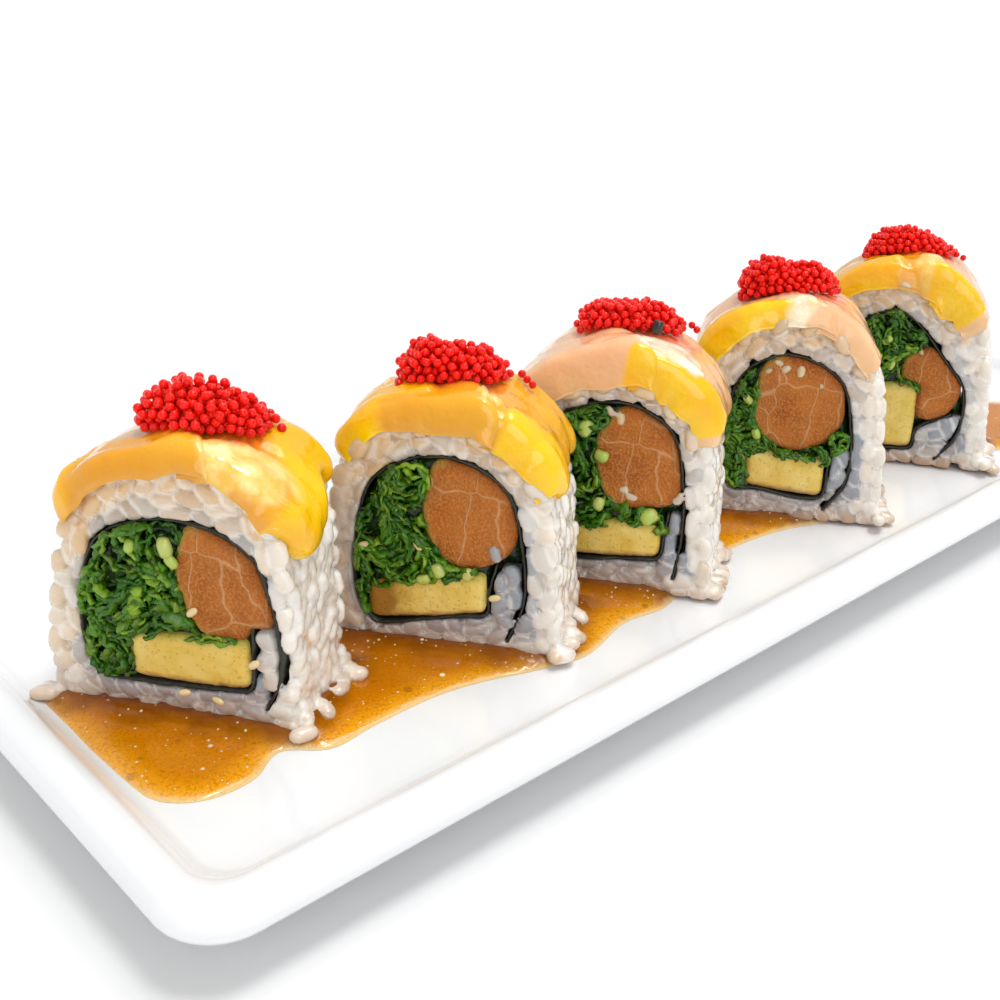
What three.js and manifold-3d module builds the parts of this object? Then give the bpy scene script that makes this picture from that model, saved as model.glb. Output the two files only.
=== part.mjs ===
// A row of five sunrise roll pieces with their sauce on a long white serving plate.
// Millimetres, +Z up. The origin is under the middle of the plate, on the surface it stands on;
// +X runs along the plate and +Y across it, away from the side that the cut faces look to.

import * as THREE from 'three';
import { mergeVertices } from 'three/addons/utils/BufferGeometryUtils.js';
import Module from 'manifold-3d';

const wasm = await Module();
wasm.setup();

// Air between touching pieces, and the distance at which equal corners are welded.
const gap = 0.3;
const weld = 1e-3;

// The plate: its length and width are measured between the crests of opposite rims.
const plateLength = 292;
const plateWidth = 120;
const plateCorner = 6.5;
const innerCorner = 6;
const wellFloor = 11;
const rimCrest = 16;
const undersideHeight = 5.5;
const footInset = 16;
const footWidth = 4;

// The roll: rice and one sheet of seaweed rolled round the fillings, then cut into pieces.
const footHalfWidth = 21.5;
const noriThickness = 0.7;
const noriSteps = 26;
const noriRecess = 0.8;
const grainLength = 5.8;
const grainWidth = 3.1;
const grainRelief = 1.3;
const sliceThickness = 4;
const sliceOverhang = 0.8;
const edgeShare = 0.16;
const roeDiameter = 1.75;
const roeSeat = 0.8;
const strandWidth = 1.5;
const fillingRecess = 0.4;
const saladRecess = 1.1;

// The sauce that stands round the feet of the rolls, and the room that it leaves beside their flanks.
const sauceDepth = 1;
const sauceMargin = 0.9;
const shorePoints = 56;

// One entry for each piece. along and across give the middle of the front foot, measured from the
// left end and the front side of the rim's crest. turn is the direction of the cut face, in degrees.
// Inside the cut face, u runs to the right of that middle and z up from the well floor.
const rolls = [
  {
    along: 20.95, across: 45.75, turn: -57, thickness: 21, crown: 44.6, lean: 3.4, seed: 11,
    ring: { left: -15, right: 18.8, side: 17, top: 35.2, topU: 4, slump: 0 },
    omelette: { left: -6.6, right: 13.2, bottomLeft: 6.8, bottomRight: 7.4, height: 8.5 },
    salmon: { u: 11.2, z: 26, width: 15.8, height: 20.4 },
    tongue: { u: 14.8, z: 18.6 }, seam: { u: 15.6, z: 3.2 },
    slices: { leftEnd: 0.315, rightEnd: 0.68, split: 0.5, drip: 0.075, dripDepth: 7.5 },
    roe: { u: 4.8, width: 15, middle: 9.6, depth: 11, height: 6.2, strayU: 13.6 },
  },
  {
    along: 66.2, across: 34.3, turn: -54.6, thickness: 21, crown: 44, lean: 1, seed: 23,
    ring: { left: -15, right: 15, side: 17, top: 36.4, topU: 1, slump: 0 },
    omelette: { left: -12.4, right: 8, bottomLeft: 4.8, bottomRight: 7.8, height: 7.6 },
    salmon: { u: 5.8, z: 26.9, width: 15.4, height: 20 },
    tongue: { u: 10.4, z: 17.4 }, seam: { u: 12, z: 2.4 },
    slices: { leftEnd: 0.33, rightEnd: 0.715, split: 0.52, drip: 0.02, dripDepth: 3 },
    roe: { u: 0.6, width: 14.6, middle: 10, depth: 9.5, height: 6.4, strayU: 12 },
  },
  {
    along: 103.1, across: 31.7, turn: -57, thickness: 20.5, crown: 45.8, lean: 2.2, seed: 37,
    ring: { left: -13.5, right: 15.8, side: 19, top: 38.2, topU: 3.5, slump: 0 },
    omelette: { left: -6.6, right: 11.4, bottomLeft: 7, bottomRight: 8.2, height: 7.2 },
    salmon: { u: 7.6, z: 27.6, width: 16.2, height: 19 },
    tongue: { u: 13.2, z: 17.2 }, seam: { u: 14.6, z: 3.4 },
    slices: { leftEnd: 0.3, rightEnd: 0.705, split: 0.5, drip: 0.03, dripDepth: 1 },
    roe: { u: 2.8, width: 16.4, middle: 13.6, depth: 9.5, height: 4.6, strayU: 12.6 },
  },
  {
    along: 154.8, across: 27.6, turn: -51, thickness: 21, crown: 45, lean: 0.4, seed: 41,
    ring: { left: -12.5, right: 13.8, side: 17, top: 37.2, topU: -1, slump: 0 },
    omelette: { left: -6.8, right: 8.6, bottomLeft: 8.2, bottomRight: 6.4, height: 8.6 },
    salmon: { u: 2.4, z: 27, width: 17.8, height: 19.8 },
    tongue: { u: 10, z: 17 }, seam: { u: 9.4, z: 2.4 },
    slices: { leftEnd: 0.31, rightEnd: 0.7, split: 0.5, drip: 0.0, dripDepth: 8 },
    roe: { u: -0.4, width: 17, middle: 11.2, depth: 10, height: 6.4, strayU: 9.6 },
  },
  {
    along: 202.2, across: 30.1, turn: -61, thickness: 21, crown: 45.4, lean: -0.6, seed: 59,
    ring: { left: -15, right: 14.8, side: 16, top: 37.2, topU: -1.5, slump: 7 },
    omelette: { left: -9, right: 4.4, bottomLeft: 4.4, bottomRight: 4.8, height: 15.4 },
    salmon: { u: 7.2, z: 20.6, width: 12.8, height: 16.6 },
    tongue: { u: 13, z: 13.6 }, seam: { u: 10.6, z: 1.9 },
    slices: { leftEnd: 0.305, rightEnd: 0.7, split: 0.52, drip: 0.05, dripDepth: 3 },
    roe: { u: -1, width: 17.5, middle: 13, depth: 9.5, height: 5, strayU: 9.6 },
  },
];

// Shore of the sauce, as places along and across the plate: the near side first, then the far side.
const sauceShore = [
  [7.8, 66.5], [6.2, 54], [6.4, 42], [8.4, 29], [14, 24], [22, 23.6], [28.5, 27], [35, 22.4],
  [44, 23], [57, 23], [66, 21], [74, 18],
  [84, 15.5], [98, 19], [108, 18], [120, 22.5], [136, 25.5], [152, 24], [164, 20], [172, 22], [184, 36],
  [196, 40], [216, 24], [232, 16], [250, 15.5], [265, 22], [266, 32], [252, 45], [232, 57], [212, 66],
  [184, 59], [158, 65], [134, 58], [110, 68], [90, 64], [72, 71], [50, 72], [33, 77], [18, 70],
];

const finish = {
  porcelain: { color: '#f3f3f1', roughness: 0.15, metalness: 0 },
  brownSauce: { color: '#b06d16', roughness: 0.12, metalness: 0 },
  rice: { color: '#e9e1d6', roughness: 0.4, metalness: 0 },
  nori: { color: '#1b2217', roughness: 0.55, metalness: 0 },
  seaweed: { color: '#2c661c', roughness: 0.3, metalness: 0 },
  salmon: { color: '#c9753a', roughness: 0.35, metalness: 0 },
  omelette: { color: '#dcbc55', roughness: 0.6, metalness: 0 },
  fish: { color: '#efbe8f', roughness: 0.22, metalness: 0 },
  glazedFish: { color: '#f6b92a', roughness: 0.15, metalness: 0 },
  roe: { color: '#dd1218', roughness: 0.12, metalness: 0 },
};

// Each roll's left and right slice: bare fish, or fish under thick yellow sauce.
const sliceFinish = [
  ['glazedFish', 'glazedFish'], ['glazedFish', 'glazedFish'], ['fish', 'fish'], ['fish', 'fish'],
  ['glazedFish', 'fish'],
];

// Numbers between 0 and 1 that are the same on every run.
function seededRandom(seed) {
  let state = seed;
  return () => {
    state = (Math.imul(state, 1664525) + 1013904223) >>> 0;
    return state / 4294967296;
  };
}

function makeMesh(name, geometry, finishName) {
  const mesh = new THREE.Mesh(geometry, new THREE.MeshStandardMaterial(finish[finishName]));
  mesh.name = name;
  return mesh;
}

function toSolid(geometry) {
  const bare = geometry.clone();
  bare.deleteAttribute('normal');
  bare.deleteAttribute('uv');
  const welded = mergeVertices(bare, weld);
  return new wasm.Manifold(new wasm.Mesh({
    numProp: 3,
    vertProperties: Float32Array.from(welded.attributes.position.array),
    triVerts: Uint32Array.from(welded.index.array),
  }));
}

function toGeometry(solid) {
  const { vertProperties, triVerts } = solid.getMesh();
  const geometry = new THREE.BufferGeometry();
  geometry.setAttribute('position', new THREE.BufferAttribute(vertProperties, 3));
  geometry.setIndex(new THREE.BufferAttribute(triVerts, 1));
  geometry.computeVertexNormals();
  return geometry;
}

// The largest body of a solid that a cut may have left in several.
function largestBody(solid) {
  return solid.decompose().reduce((best, body) => (body.volume() > best.volume() ? body : best));
}

// A closed solid through rings of equally many points, given from the lowest to the highest.
function loft(rings) {
  const count = rings[0].length;
  const corners = rings.flat().flatMap((point) => [point.x, point.y, point.z]);
  const faces = [];
  for (let level = 0; level + 1 < rings.length; level += 1) {
    for (let side = 0; side < count; side += 1) {
      const low = level * count + side;
      const lowNext = level * count + ((side + 1) % count);
      faces.push(low, lowNext, lowNext + count, low, lowNext + count, low + count);
    }
  }
  const top = (rings.length - 1) * count;
  const lid = (ring) => THREE.ShapeUtils.triangulateShape(ring.map((p) => new THREE.Vector2(p.x, p.y)), []);
  lid(rings[0]).forEach(([a, b, c]) => faces.push(a, c, b));
  lid(rings[rings.length - 1]).forEach(([a, b, c]) => faces.push(top + a, top + b, top + c));
  const geometry = new THREE.BufferGeometry();
  geometry.setAttribute('position', new THREE.Float32BufferAttribute(corners, 3));
  geometry.setIndex(faces);
  geometry.computeVertexNormals();
  return geometry;
}

// The plate

function plateRing(grow, height) {
  const stepsPerCorner = 6;
  const radius = Math.max(plateCorner + grow, innerCorner);
  const points = [];
  for (let corner = 0; corner < 4; corner += 1) {
    const signX = corner === 0 || corner === 3 ? 1 : -1;
    const signY = corner < 2 ? 1 : -1;
    const centreX = signX * (plateLength / 2 + grow - radius);
    const centreY = signY * (plateWidth / 2 + grow - radius);
    for (let step = 0; step <= stepsPerCorner; step += 1) {
      const angle = (corner + step / stepsPerCorner) * (Math.PI / 2);
      const x = centreX + radius * Math.cos(angle);
      const y = centreY + radius * Math.sin(angle);
      points.push(new THREE.Vector3(x, y, height));
    }
  }
  return points;
}

// Rings run from the recess under the plate, round the foot and the rim, to the floor of the well.
function plateGeometry() {
  const footOuter = -footInset;
  const footInner = -footInset - footWidth;
  const rimRise = rimCrest - wellFloor;
  const profile = [
    [footInner - 1.4, undersideHeight],
    [footInner, 0],
    [footOuter, 0],
    [footOuter + 1.4, undersideHeight - 0.8],
    [-7, 6.4],
    [0.6, 8.2],
    [3.2, 10.2],
    [3.8, 12.2],
    [3, 14.4],
    [1.4, 15.7],
    [-0.4, rimCrest],
    [-2.2, wellFloor + 0.88 * rimRise],
    [-3.8, wellFloor + 0.56 * rimRise],
    [-5, wellFloor + 0.28 * rimRise],
    [-6.8, wellFloor + 0.08 * rimRise],
    [-9, wellFloor],
  ];
  return loft(profile.map(([grow, height]) => plateRing(grow, height)));
}

// Curves inside the cut face

// The outside of the rice from the left foot over the crown to the right foot.
function archCurve(roll, inset = 0) {
  const half = footHalfWidth - inset;
  const top = roll.crown - inset;
  const shift = (height) => roll.lean * (height / roll.crown) ** 1.6;
  const shape = [[-1, 0], [-0.985, 0.2], [-0.96, 0.42], [-0.91, 0.62], [-0.79, 0.8], [-0.49, 0.945], [0, 1]];
  const place = (side, rise) => new THREE.Vector3(half * side + shift(top * rise), top * rise, 0);
  const left = shape.map(([side, rise]) => place(side, rise));
  const right = shape.slice(0, -1).reverse().map(([side, rise]) => place(-side, rise));
  return new THREE.CatmullRomCurve3([...left, ...right], false, 'centripetal');
}

// The middle line of the rolled sheet: from its inner end beside the omelette, under it, up the left,
// over the fillings, and down the right to its outer end.
function noriCurve(roll) {
  const { ring, omelette, tongue, seam } = roll;
  const skirt = 0.5 * noriThickness + 2 * gap;
  const shoulder = ring.side + 0.76 * (ring.top - ring.side);
  const low = Math.min(omelette.bottomLeft, omelette.bottomRight + 1) - skirt;
  const points = [
    [tongue.u, tongue.z],
    [omelette.right + skirt + 0.2, omelette.bottomRight + 0.5 * (tongue.z - omelette.bottomRight)],
    [omelette.right + skirt - 0.6, omelette.bottomRight - skirt + 0.6],
    [omelette.right - 3.4, omelette.bottomRight - skirt],
    [omelette.left + 1, omelette.bottomLeft - skirt],
    [ring.left + 3, low + 0.4],
    [ring.left + 0.6, low + 4],
    [ring.left, ring.side],
    [ring.topU + 0.74 * (ring.left - ring.topU), shoulder],
    [ring.topU, ring.top],
    [ring.topU + 0.76 * (ring.right - ring.topU), shoulder - ring.slump],
    [ring.right - 0.2, ring.side + 4],
    [ring.right, ring.side - 7],
    [seam.u, seam.z],
  ];
  const corners = points.map(([u, z]) => new THREE.Vector3(u, z, 0));
  return new THREE.CatmullRomCurve3(corners, false, 'centripetal');
}

// Points along the rolled sheet's middle line, moved to its left by offset, past its ends by clearance.
function besideNori(roll, offset, clearance) {
  const curve = noriCurve(roll);
  const points = [];
  for (let step = 0; step <= noriSteps; step += 1) {
    const at = curve.getPointAt(step / noriSteps);
    const tangent = curve.getTangentAt(step / noriSteps);
    const past = step === noriSteps ? clearance : 0;
    points.push(new THREE.Vector2(
      at.x - tangent.y * offset + tangent.x * past,
      at.y + tangent.x * offset + tangent.y * past,
    ));
  }
  return points;
}

// The sheet turns clockwise, so its right-hand side is the one towards the fillings.
function noriSides(roll, clearance) {
  const reach = noriThickness / 2 + clearance;
  return { inner: besideNori(roll, -reach, clearance), outer: besideNori(roll, reach, clearance) };
}

// The inner side of the sheet, parted where it comes down past the level of its own inner end.
function partInnerSide(inner, level) {
  const next = inner.findIndex((point, index) => index > inner.length / 2 && point.y < level);
  const above = inner[next - 1];
  const below = inner[next];
  const doorway = above.clone().lerp(below, (above.y - level) / (above.y - below.y));
  return { round: [...inner.slice(0, next), doorway], overlap: [doorway, ...inner.slice(next)] };
}

// The room that the sheet encloses for the fillings, closed by a line from its inner end to the far wall.
function fillingOutline(roll) {
  const { inner } = noriSides(roll, gap);
  return partInnerSide(inner, roll.tongue.z + gap).round;
}

// Everything that the rice goes round: the fillings and the sheet with its overlapping end.
function riceHole(roll) {
  const { inner, outer } = noriSides(roll, gap);
  const { overlap } = partInnerSide(inner, roll.tongue.z - gap);
  return [...outer, ...overlap.reverse()];
}

// A prism over an outline in the cut face, between two depths behind its front.
function prism(outline, from, to) {
  const shape = new THREE.Shape(outline);
  const geometry = new THREE.ExtrudeGeometry(shape, { depth: to - from, bevelEnabled: false });
  geometry.rotateX(Math.PI / 2);
  geometry.translate(0, to, 0);
  return geometry;
}

function insideOutline(point, outline) {
  let inside = false;
  outline.forEach((a, index) => {
    const b = outline[(index + 1) % outline.length];
    const crosses = (a.y > point.y) !== (b.y > point.y);
    if (crosses && point.x < ((b.x - a.x) * (point.y - a.y)) / (b.y - a.y) + a.x) {
      inside = !inside;
    }
  });
  return inside;
}

function distanceToOutline(point, outline) {
  const distances = outline.map((a, index) => {
    const b = outline[(index + 1) % outline.length];
    const along = b.clone().sub(a);
    const share = THREE.MathUtils.clamp(point.clone().sub(a).dot(along) / along.lengthSq(), 0, 1);
    return point.distanceTo(a.clone().addScaledVector(along, share));
  });
  return Math.min(...distances);
}

// Rice

function grainSolid(centre, direction, length = grainLength) {
  const grain = new THREE.IcosahedronGeometry(0.5, 0);
  grain.scale(grainWidth, length, grainWidth);
  const turn = new THREE.Quaternion().setFromUnitVectors(new THREE.Vector3(0, 1, 0), direction);
  grain.applyQuaternion(turn);
  grain.translate(centre.x, centre.y, centre.z);
  return toSolid(grain);
}

// Grains on both cut faces, laid round the fillings, clear of the sheet and inside the outline.
function faceGrains(roll, outline, hole, random) {
  const grains = [];
  const spacing = 5.1;
  const clearOfHole = grainWidth / 2 + 0.1;
  const columns = Math.ceil((2 * footHalfWidth + 8) / spacing);
  const rows = Math.ceil(roll.crown / spacing);
  for (let row = 0; row < rows; row += 1) {
    for (let column = 0; column < columns; column += 1) {
      const u = -footHalfWidth - 2 + (column + (row % 2) / 2) * spacing + (random() - 0.5) * 1.6;
      const z = 2.4 + row * spacing + (random() - 0.5) * 1.6;
      const slant = Math.atan2(z - roll.ring.side, u - roll.ring.topU) + Math.PI / 2 + (random() - 0.5) * 0.7;
      const reach = grainLength / 2 - 0.6;
      const tips = [-reach, 0, reach].map((r) => (
        new THREE.Vector2(u + r * Math.cos(slant), z + r * Math.sin(slant))
      ));
      const fits = tips.every((tip) => (
        insideOutline(tip, outline) && !insideOutline(tip, hole) && distanceToOutline(tip, hole) > clearOfHole
          && distanceToOutline(tip, outline) > 1
      ));
      if (fits) {
        const direction = new THREE.Vector3(Math.cos(slant), 0, Math.sin(slant));
        const depth = (row + column) % 2 ? roll.thickness - grainWidth / 2 : grainWidth / 2;
        grains.push(grainSolid(new THREE.Vector3(u, depth, z), direction));
      }
    }
  }
  return grains;
}

// Grains on the two flanks, below the slices that cover the crown.
function flankGrains(roll, random) {
  const grains = [];
  const curve = archCurve(roll, grainWidth / 2 - 0.1);
  const rows = 4;
  const columns = 2;
  [0, 1].forEach((side) => {
    const reach = side ? 1 - roll.slices.rightEnd - roll.slices.drip : roll.slices.leftEnd;
    for (let row = 0; row < rows; row += 1) {
      for (let column = 0; column < columns; column += 1) {
        const share = ((row + 0.45 + (random() - 0.5) * 0.3) / rows) * (reach - 0.02);
        const at = curve.getPointAt(side ? 1 - share : share);
        const depth = 4 + ((column + (row % 2) * 0.5) / (columns - 0.5)) * (roll.thickness - 8);
        const rise = (random() - 0.5) * 1.8;
        const direction = new THREE.Vector3(0, Math.cos(rise), Math.sin(rise));
        const height = Math.max(at.y, grainWidth / 2 + Math.abs(direction.z) * 1.6);
        grains.push(grainSolid(new THREE.Vector3(at.x, depth, height), direction, grainLength * 0.92));
      }
    }
  });
  return grains;
}

function buildRice(name, roll) {
  const random = seededRandom(roll.seed);
  const hole = riceHole(roll);
  const arch = (inset) => archCurve(roll, inset).getSpacedPoints(26).map((p) => new THREE.Vector2(p.x, p.y));
  const block = toSolid(prism(arch(grainRelief), grainRelief, roll.thickness - grainRelief));
  const grains = [...faceGrains(roll, arch(0), hole, random), ...flankGrains(roll, random)];
  const cavity = toSolid(prism(hole, -1, roll.thickness + 1));
  const solid = wasm.Manifold.union([block, ...grains]).subtract(cavity);
  return makeMesh(name, toGeometry(largestBody(solid)), 'rice');
}

function buildNori(name, roll) {
  const { inner, outer } = noriSides(roll, 0);
  const strip = prism([...outer, ...inner.reverse()], noriRecess, roll.thickness - noriRecess);
  return makeMesh(name, strip, 'nori');
}

// Fillings

function roundedOutline(centre, width, height, steps, power = 2) {
  const points = [];
  for (let step = 0; step < steps; step += 1) {
    const angle = (step / steps) * 2 * Math.PI;
    const round = (value) => Math.sign(value) * Math.abs(value) ** (2 / power);
    const u = centre.u + (width / 2) * round(Math.cos(angle));
    const z = centre.z + (height / 2) * round(Math.sin(angle));
    points.push(new THREE.Vector2(u, z));
  }
  return points;
}

function omeletteOutline(roll, grow) {
  const { left, right, bottomLeft, bottomRight, height } = roll.omelette;
  const topSag = 0.5;
  return [
    new THREE.Vector2(left - grow, bottomLeft - grow),
    new THREE.Vector2(right - 0.8, bottomRight - grow),
    new THREE.Vector2(right + grow, bottomRight + 0.8),
    new THREE.Vector2(right + grow, bottomRight + height + grow),
    new THREE.Vector2((left + right) / 2, (bottomLeft + bottomRight) / 2 + height - topSag + grow),
    new THREE.Vector2(left - grow, bottomLeft + height - 0.8 + grow),
  ];
}

function salmonOutline(roll, grow) {
  const { width, height } = roll.salmon;
  return roundedOutline(roll.salmon, width + 2 * grow, height + 2 * grow, 16, 2.6);
}

function fillingRoom(roll, from, to) {
  return toSolid(prism(fillingOutline(roll), from, to));
}

function buildOmelette(name, roll) {
  const block = toSolid(prism(omeletteOutline(roll, 0), fillingRecess, roll.thickness - fillingRecess));
  const room = fillingRoom(roll, 0, roll.thickness);
  return makeMesh(name, toGeometry(largestBody(block.intersect(room))), 'omelette');
}

function buildSalmon(name, roll) {
  const bar = toSolid(prism(salmonOutline(roll, 0), fillingRecess, roll.thickness - fillingRecess));
  const room = fillingRoom(roll, 0, roll.thickness);
  const omelette = toSolid(prism(omeletteOutline(roll, gap), 0, roll.thickness));
  return makeMesh(name, toGeometry(largestBody(bar.intersect(room).subtract(omelette))), 'salmon');
}

// A short bent strand of salad that shows at a cut face.
function strandSolid(start, angle, bend, depth, length) {
  const at = (share) => new THREE.Vector3(
    start.x + length * share * Math.cos(angle + bend * share),
    depth,
    start.y + length * share * Math.sin(angle + bend * share),
  );
  const path = new THREE.QuadraticBezierCurve3(at(0), at(0.5), at(1));
  const half = strandWidth / 2;
  const section = new THREE.Shape([[half, 0], [0, half], [-half, 0], [0, -half]].map(([a, b]) => (
    new THREE.Vector2(a, b)
  )));
  const tube = new THREE.ExtrudeGeometry(section, { extrudePath: path, steps: 3, bevelEnabled: false });
  return toSolid(tube);
}

// Seaweed salad fills what the salmon and the omelette leave, with strands standing out of its faces.
function buildSeaweed(name, roll) {
  const random = seededRandom(roll.seed + 5);
  const room = fillingOutline(roll);
  const omelette = omeletteOutline(roll, gap);
  const salmon = salmonOutline(roll, gap);
  const others = [omelette, salmon].map((outline) => toSolid(prism(outline, -2, roll.thickness + 2)));
  const bundle = toSolid(prism(room, saladRecess, roll.thickness - saladRecess));
  const strands = [];
  const strandSpacing = 4.6;
  const strandReach = saladRecess + 0.1;
  for (let z = 4; z < roll.crown; z += strandSpacing) {
    for (let u = roll.ring.left; u < roll.ring.right; u += strandSpacing) {
      const start = new THREE.Vector2(u + random() * 1.6, z + random() * 1.6);
      const angle = random() * 2 * Math.PI;
      const length = 4 + 2.5 * random();
      const heading = new THREE.Vector2(Math.cos(angle), Math.sin(angle));
      const middle = start.clone().addScaledVector(heading, length / 2);
      const clear = (outline) => !insideOutline(middle, outline) && distanceToOutline(middle, outline) > 1.4;
      const fits = insideOutline(middle, room) && distanceToOutline(middle, room) > 1.8;
      if (fits && clear(omelette) && clear(salmon)) {
        const front = strands.length % 2 === 0;
        const depth = front ? strandReach : roll.thickness - strandReach;
        strands.push(strandSolid(start, angle, (random() - 0.5) * 1.2, depth, length));
      }
    }
  }
  const clip = toSolid(prism(room, 0, roll.thickness));
  const heap = wasm.Manifold.union([bundle, ...strands]).intersect(clip);
  const salad = heap.subtract(others[0]).subtract(others[1]);
  return makeMesh(name, toGeometry(largestBody(salad)), 'seaweed');
}

// Slices over the crown

// Height of a sheet's top, from its edge, where it is least, to its middle, where it is 1. v and w run
// from -1 to 1 over the sheet, and a higher power keeps the top flat for longer.
function swellAt(v, w, power) {
  const middleShare = Math.sqrt((1 - Math.abs(v) ** power) * (1 - Math.abs(w) ** power));
  return edgeShare + (1 - edgeShare) * middleShare;
}

// A sheet over the arch between two shares of its length, which may change with depth. Its underside
// keeps base above the rice, and its top swells to base plus height and runs out at the edges.
function drapedSheet(roll, { start, end, front, back, base, height, across, deep, power }) {
  const curve = archCurve(roll);
  const point = (share, depth, offset) => {
    const at = curve.getPointAt(share);
    const tangent = curve.getTangentAt(share);
    return [at.x - tangent.y * offset, depth, at.y + tangent.x * offset];
  };
  const corners = [];
  const number = { top: [], bottom: [] };
  for (let row = 0; row <= deep; row += 1) {
    number.top.push([]);
    number.bottom.push([]);
    const v = (row / deep) * 2 - 1;
    const depth = front + ((v + 1) / 2) * (back - front);
    for (let column = 0; column <= across; column += 1) {
      const w = (column / across) * 2 - 1;
      const share = start(depth) + ((w + 1) / 2) * (end(depth) - start(depth));
      number.top[row].push(corners.length / 3);
      corners.push(...point(share, depth, base + height * swellAt(v, w, power)));
      number.bottom[row].push(corners.length / 3);
      corners.push(...point(share, depth, base));
    }
  }
  const faces = [];
  const quad = (a, b, c, d) => faces.push(a, b, c, a, c, d);
  const { top, bottom } = number;
  for (let row = 0; row < deep; row += 1) {
    for (let column = 0; column < across; column += 1) {
      const [near, far] = [bottom[row], bottom[row + 1]];
      quad(top[row][column], top[row][column + 1], top[row + 1][column + 1], top[row + 1][column]);
      quad(near[column], far[column], far[column + 1], near[column + 1]);
    }
    quad(top[row][0], top[row + 1][0], bottom[row + 1][0], bottom[row][0]);
    quad(top[row][across], bottom[row][across], bottom[row + 1][across], top[row + 1][across]);
  }
  for (let column = 0; column < across; column += 1) {
    quad(top[0][column], bottom[0][column], bottom[0][column + 1], top[0][column + 1]);
    quad(top[deep][column], top[deep][column + 1], bottom[deep][column + 1], bottom[deep][column]);
  }
  const geometry = new THREE.BufferGeometry();
  geometry.setAttribute('position', new THREE.Float32BufferAttribute(corners, 3));
  geometry.setIndex(faces);
  geometry.computeVertexNormals();
  return geometry;
}

// Two slices meet along a line that runs aslant over the crown. The right one ends in a drip.
function buildSlices(name, roll, finishes) {
  const { leftEnd, rightEnd, split, drip, dripDepth } = roll.slices;
  const slant = 0.1;
  const waviness = 0.012;
  const dripWidth = 5.5;
  const seam = (depth) => split + slant * (0.5 - depth / roll.thickness);
  const halfGap = gap / archCurve(roll).getLength();
  const shared = {
    front: -sliceOverhang, back: roll.thickness + sliceOverhang, base: gap, height: sliceThickness - gap,
    across: 7, deep: 4, power: 2.4,
  };
  const left = drapedSheet(roll, {
    ...shared,
    start: (depth) => leftEnd + waviness * Math.sin(depth * 0.55 + roll.seed),
    end: (depth) => seam(depth) - halfGap,
  });
  const right = drapedSheet(roll, {
    ...shared,
    start: (depth) => seam(depth) + halfGap,
    end: (depth) => rightEnd + drip * Math.exp(-(((depth - dripDepth) / dripWidth) ** 2)),
  });
  return [
    makeMesh(`${name}_slice_left`, left, finishes[0]),
    makeMesh(`${name}_slice_right`, right, finishes[1]),
  ];
}

// Roe

// Share of the arch's length at which it passes a place u on the crown.
function shareOnCrown(curve, u) {
  let best = 0.5;
  for (let share = 0.3; share <= 0.7; share += 0.004) {
    if (Math.abs(curve.getPointAt(share).x - u) < Math.abs(curve.getPointAt(best).x - u)) {
      best = share;
    }
  }
  return best;
}

function buildRoe(name, roll) {
  const random = seededRandom(roll.seed + 9);
  const { u, width, middle, depth, height, strayU } = roll.roe;
  const curve = archCurve(roll);
  const from = shareOnCrown(curve, u - width / 2);
  const to = shareOnCrown(curve, u + width / 2);
  const centre = (from + to) / 2;
  const base = sliceThickness + gap;
  const power = 2.2;
  const halfSpan = (at) => (to - centre) * Math.sqrt(1 - 0.7 * ((at - middle) / (depth / 2)) ** 2);
  const mound = drapedSheet(roll, {
    start: (at) => centre - halfSpan(at), end: (at) => centre + halfSpan(at),
    front: middle - depth / 2, back: middle + depth / 2, base, height, across: 5, deep: 3, power,
  });
  const eggs = [];
  const addEgg = (share, at, lift) => {
    const place = curve.getPointAt(share);
    const tangent = curve.getTangentAt(share);
    const offset = base + roeDiameter / 2 + lift;
    const egg = new THREE.IcosahedronGeometry(roeDiameter / 2, 0);
    egg.translate(place.x - tangent.y * offset, at, place.y + tangent.x * offset);
    eggs.push(toSolid(egg));
  };
  const columns = 4;
  const rows = 3;
  for (let row = 0; row < rows; row += 1) {
    for (let column = 0; column < columns; column += 1) {
      const w = ((column + 0.5 + (random() - 0.5) * 0.5) / columns) * 2 - 1;
      const v = ((row + 0.5 + (random() - 0.5) * 0.5) / rows) * 2 - 1;
      const at = middle + (v * depth) / 2;
      addEgg(centre + w * halfSpan(at), at, Math.max(height * swellAt(v, w, power) - roeSeat, 0));
    }
  }
  const strayShare = shareOnCrown(curve, strayU);
  const steps = Math.max(1, Math.round(((strayShare - to) * curve.getLength()) / (roeDiameter * 0.8)));
  for (let step = 0; step < steps; step += 1) {
    addEgg(to + ((strayShare - to) * step) / steps, middle + (step % 2 ? 0.3 : -0.3), 0);
  }
  const heap = wasm.Manifold.union([toSolid(mound), ...eggs]);
  return makeMesh(name, toGeometry(largestBody(heap)), 'roe');
}

// Rolls and sauce in place

function placeRoll(object, roll) {
  const turn = THREE.MathUtils.degToRad(roll.turn);
  object.position.set(roll.along - plateLength / 2, roll.across - plateWidth / 2, wellFloor + gap);
  object.rotation.z = turn;
  object.updateMatrixWorld(true);
  return object;
}

function buildRoll(roll, index) {
  const name = `roll_${index + 1}`;
  const group = new THREE.Group();
  group.add(
    buildRice(`${name}_rice`, roll),
    buildNori(`${name}_nori`, roll),
    buildSeaweed(`${name}_seaweed`, roll),
    buildSalmon(`${name}_salmon`, roll),
    buildOmelette(`${name}_omelette`, roll),
    ...buildSlices(name, roll, sliceFinish[index]),
    buildRoe(`${name}_roe`, roll),
  );
  return placeRoll(group, roll);
}

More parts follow.
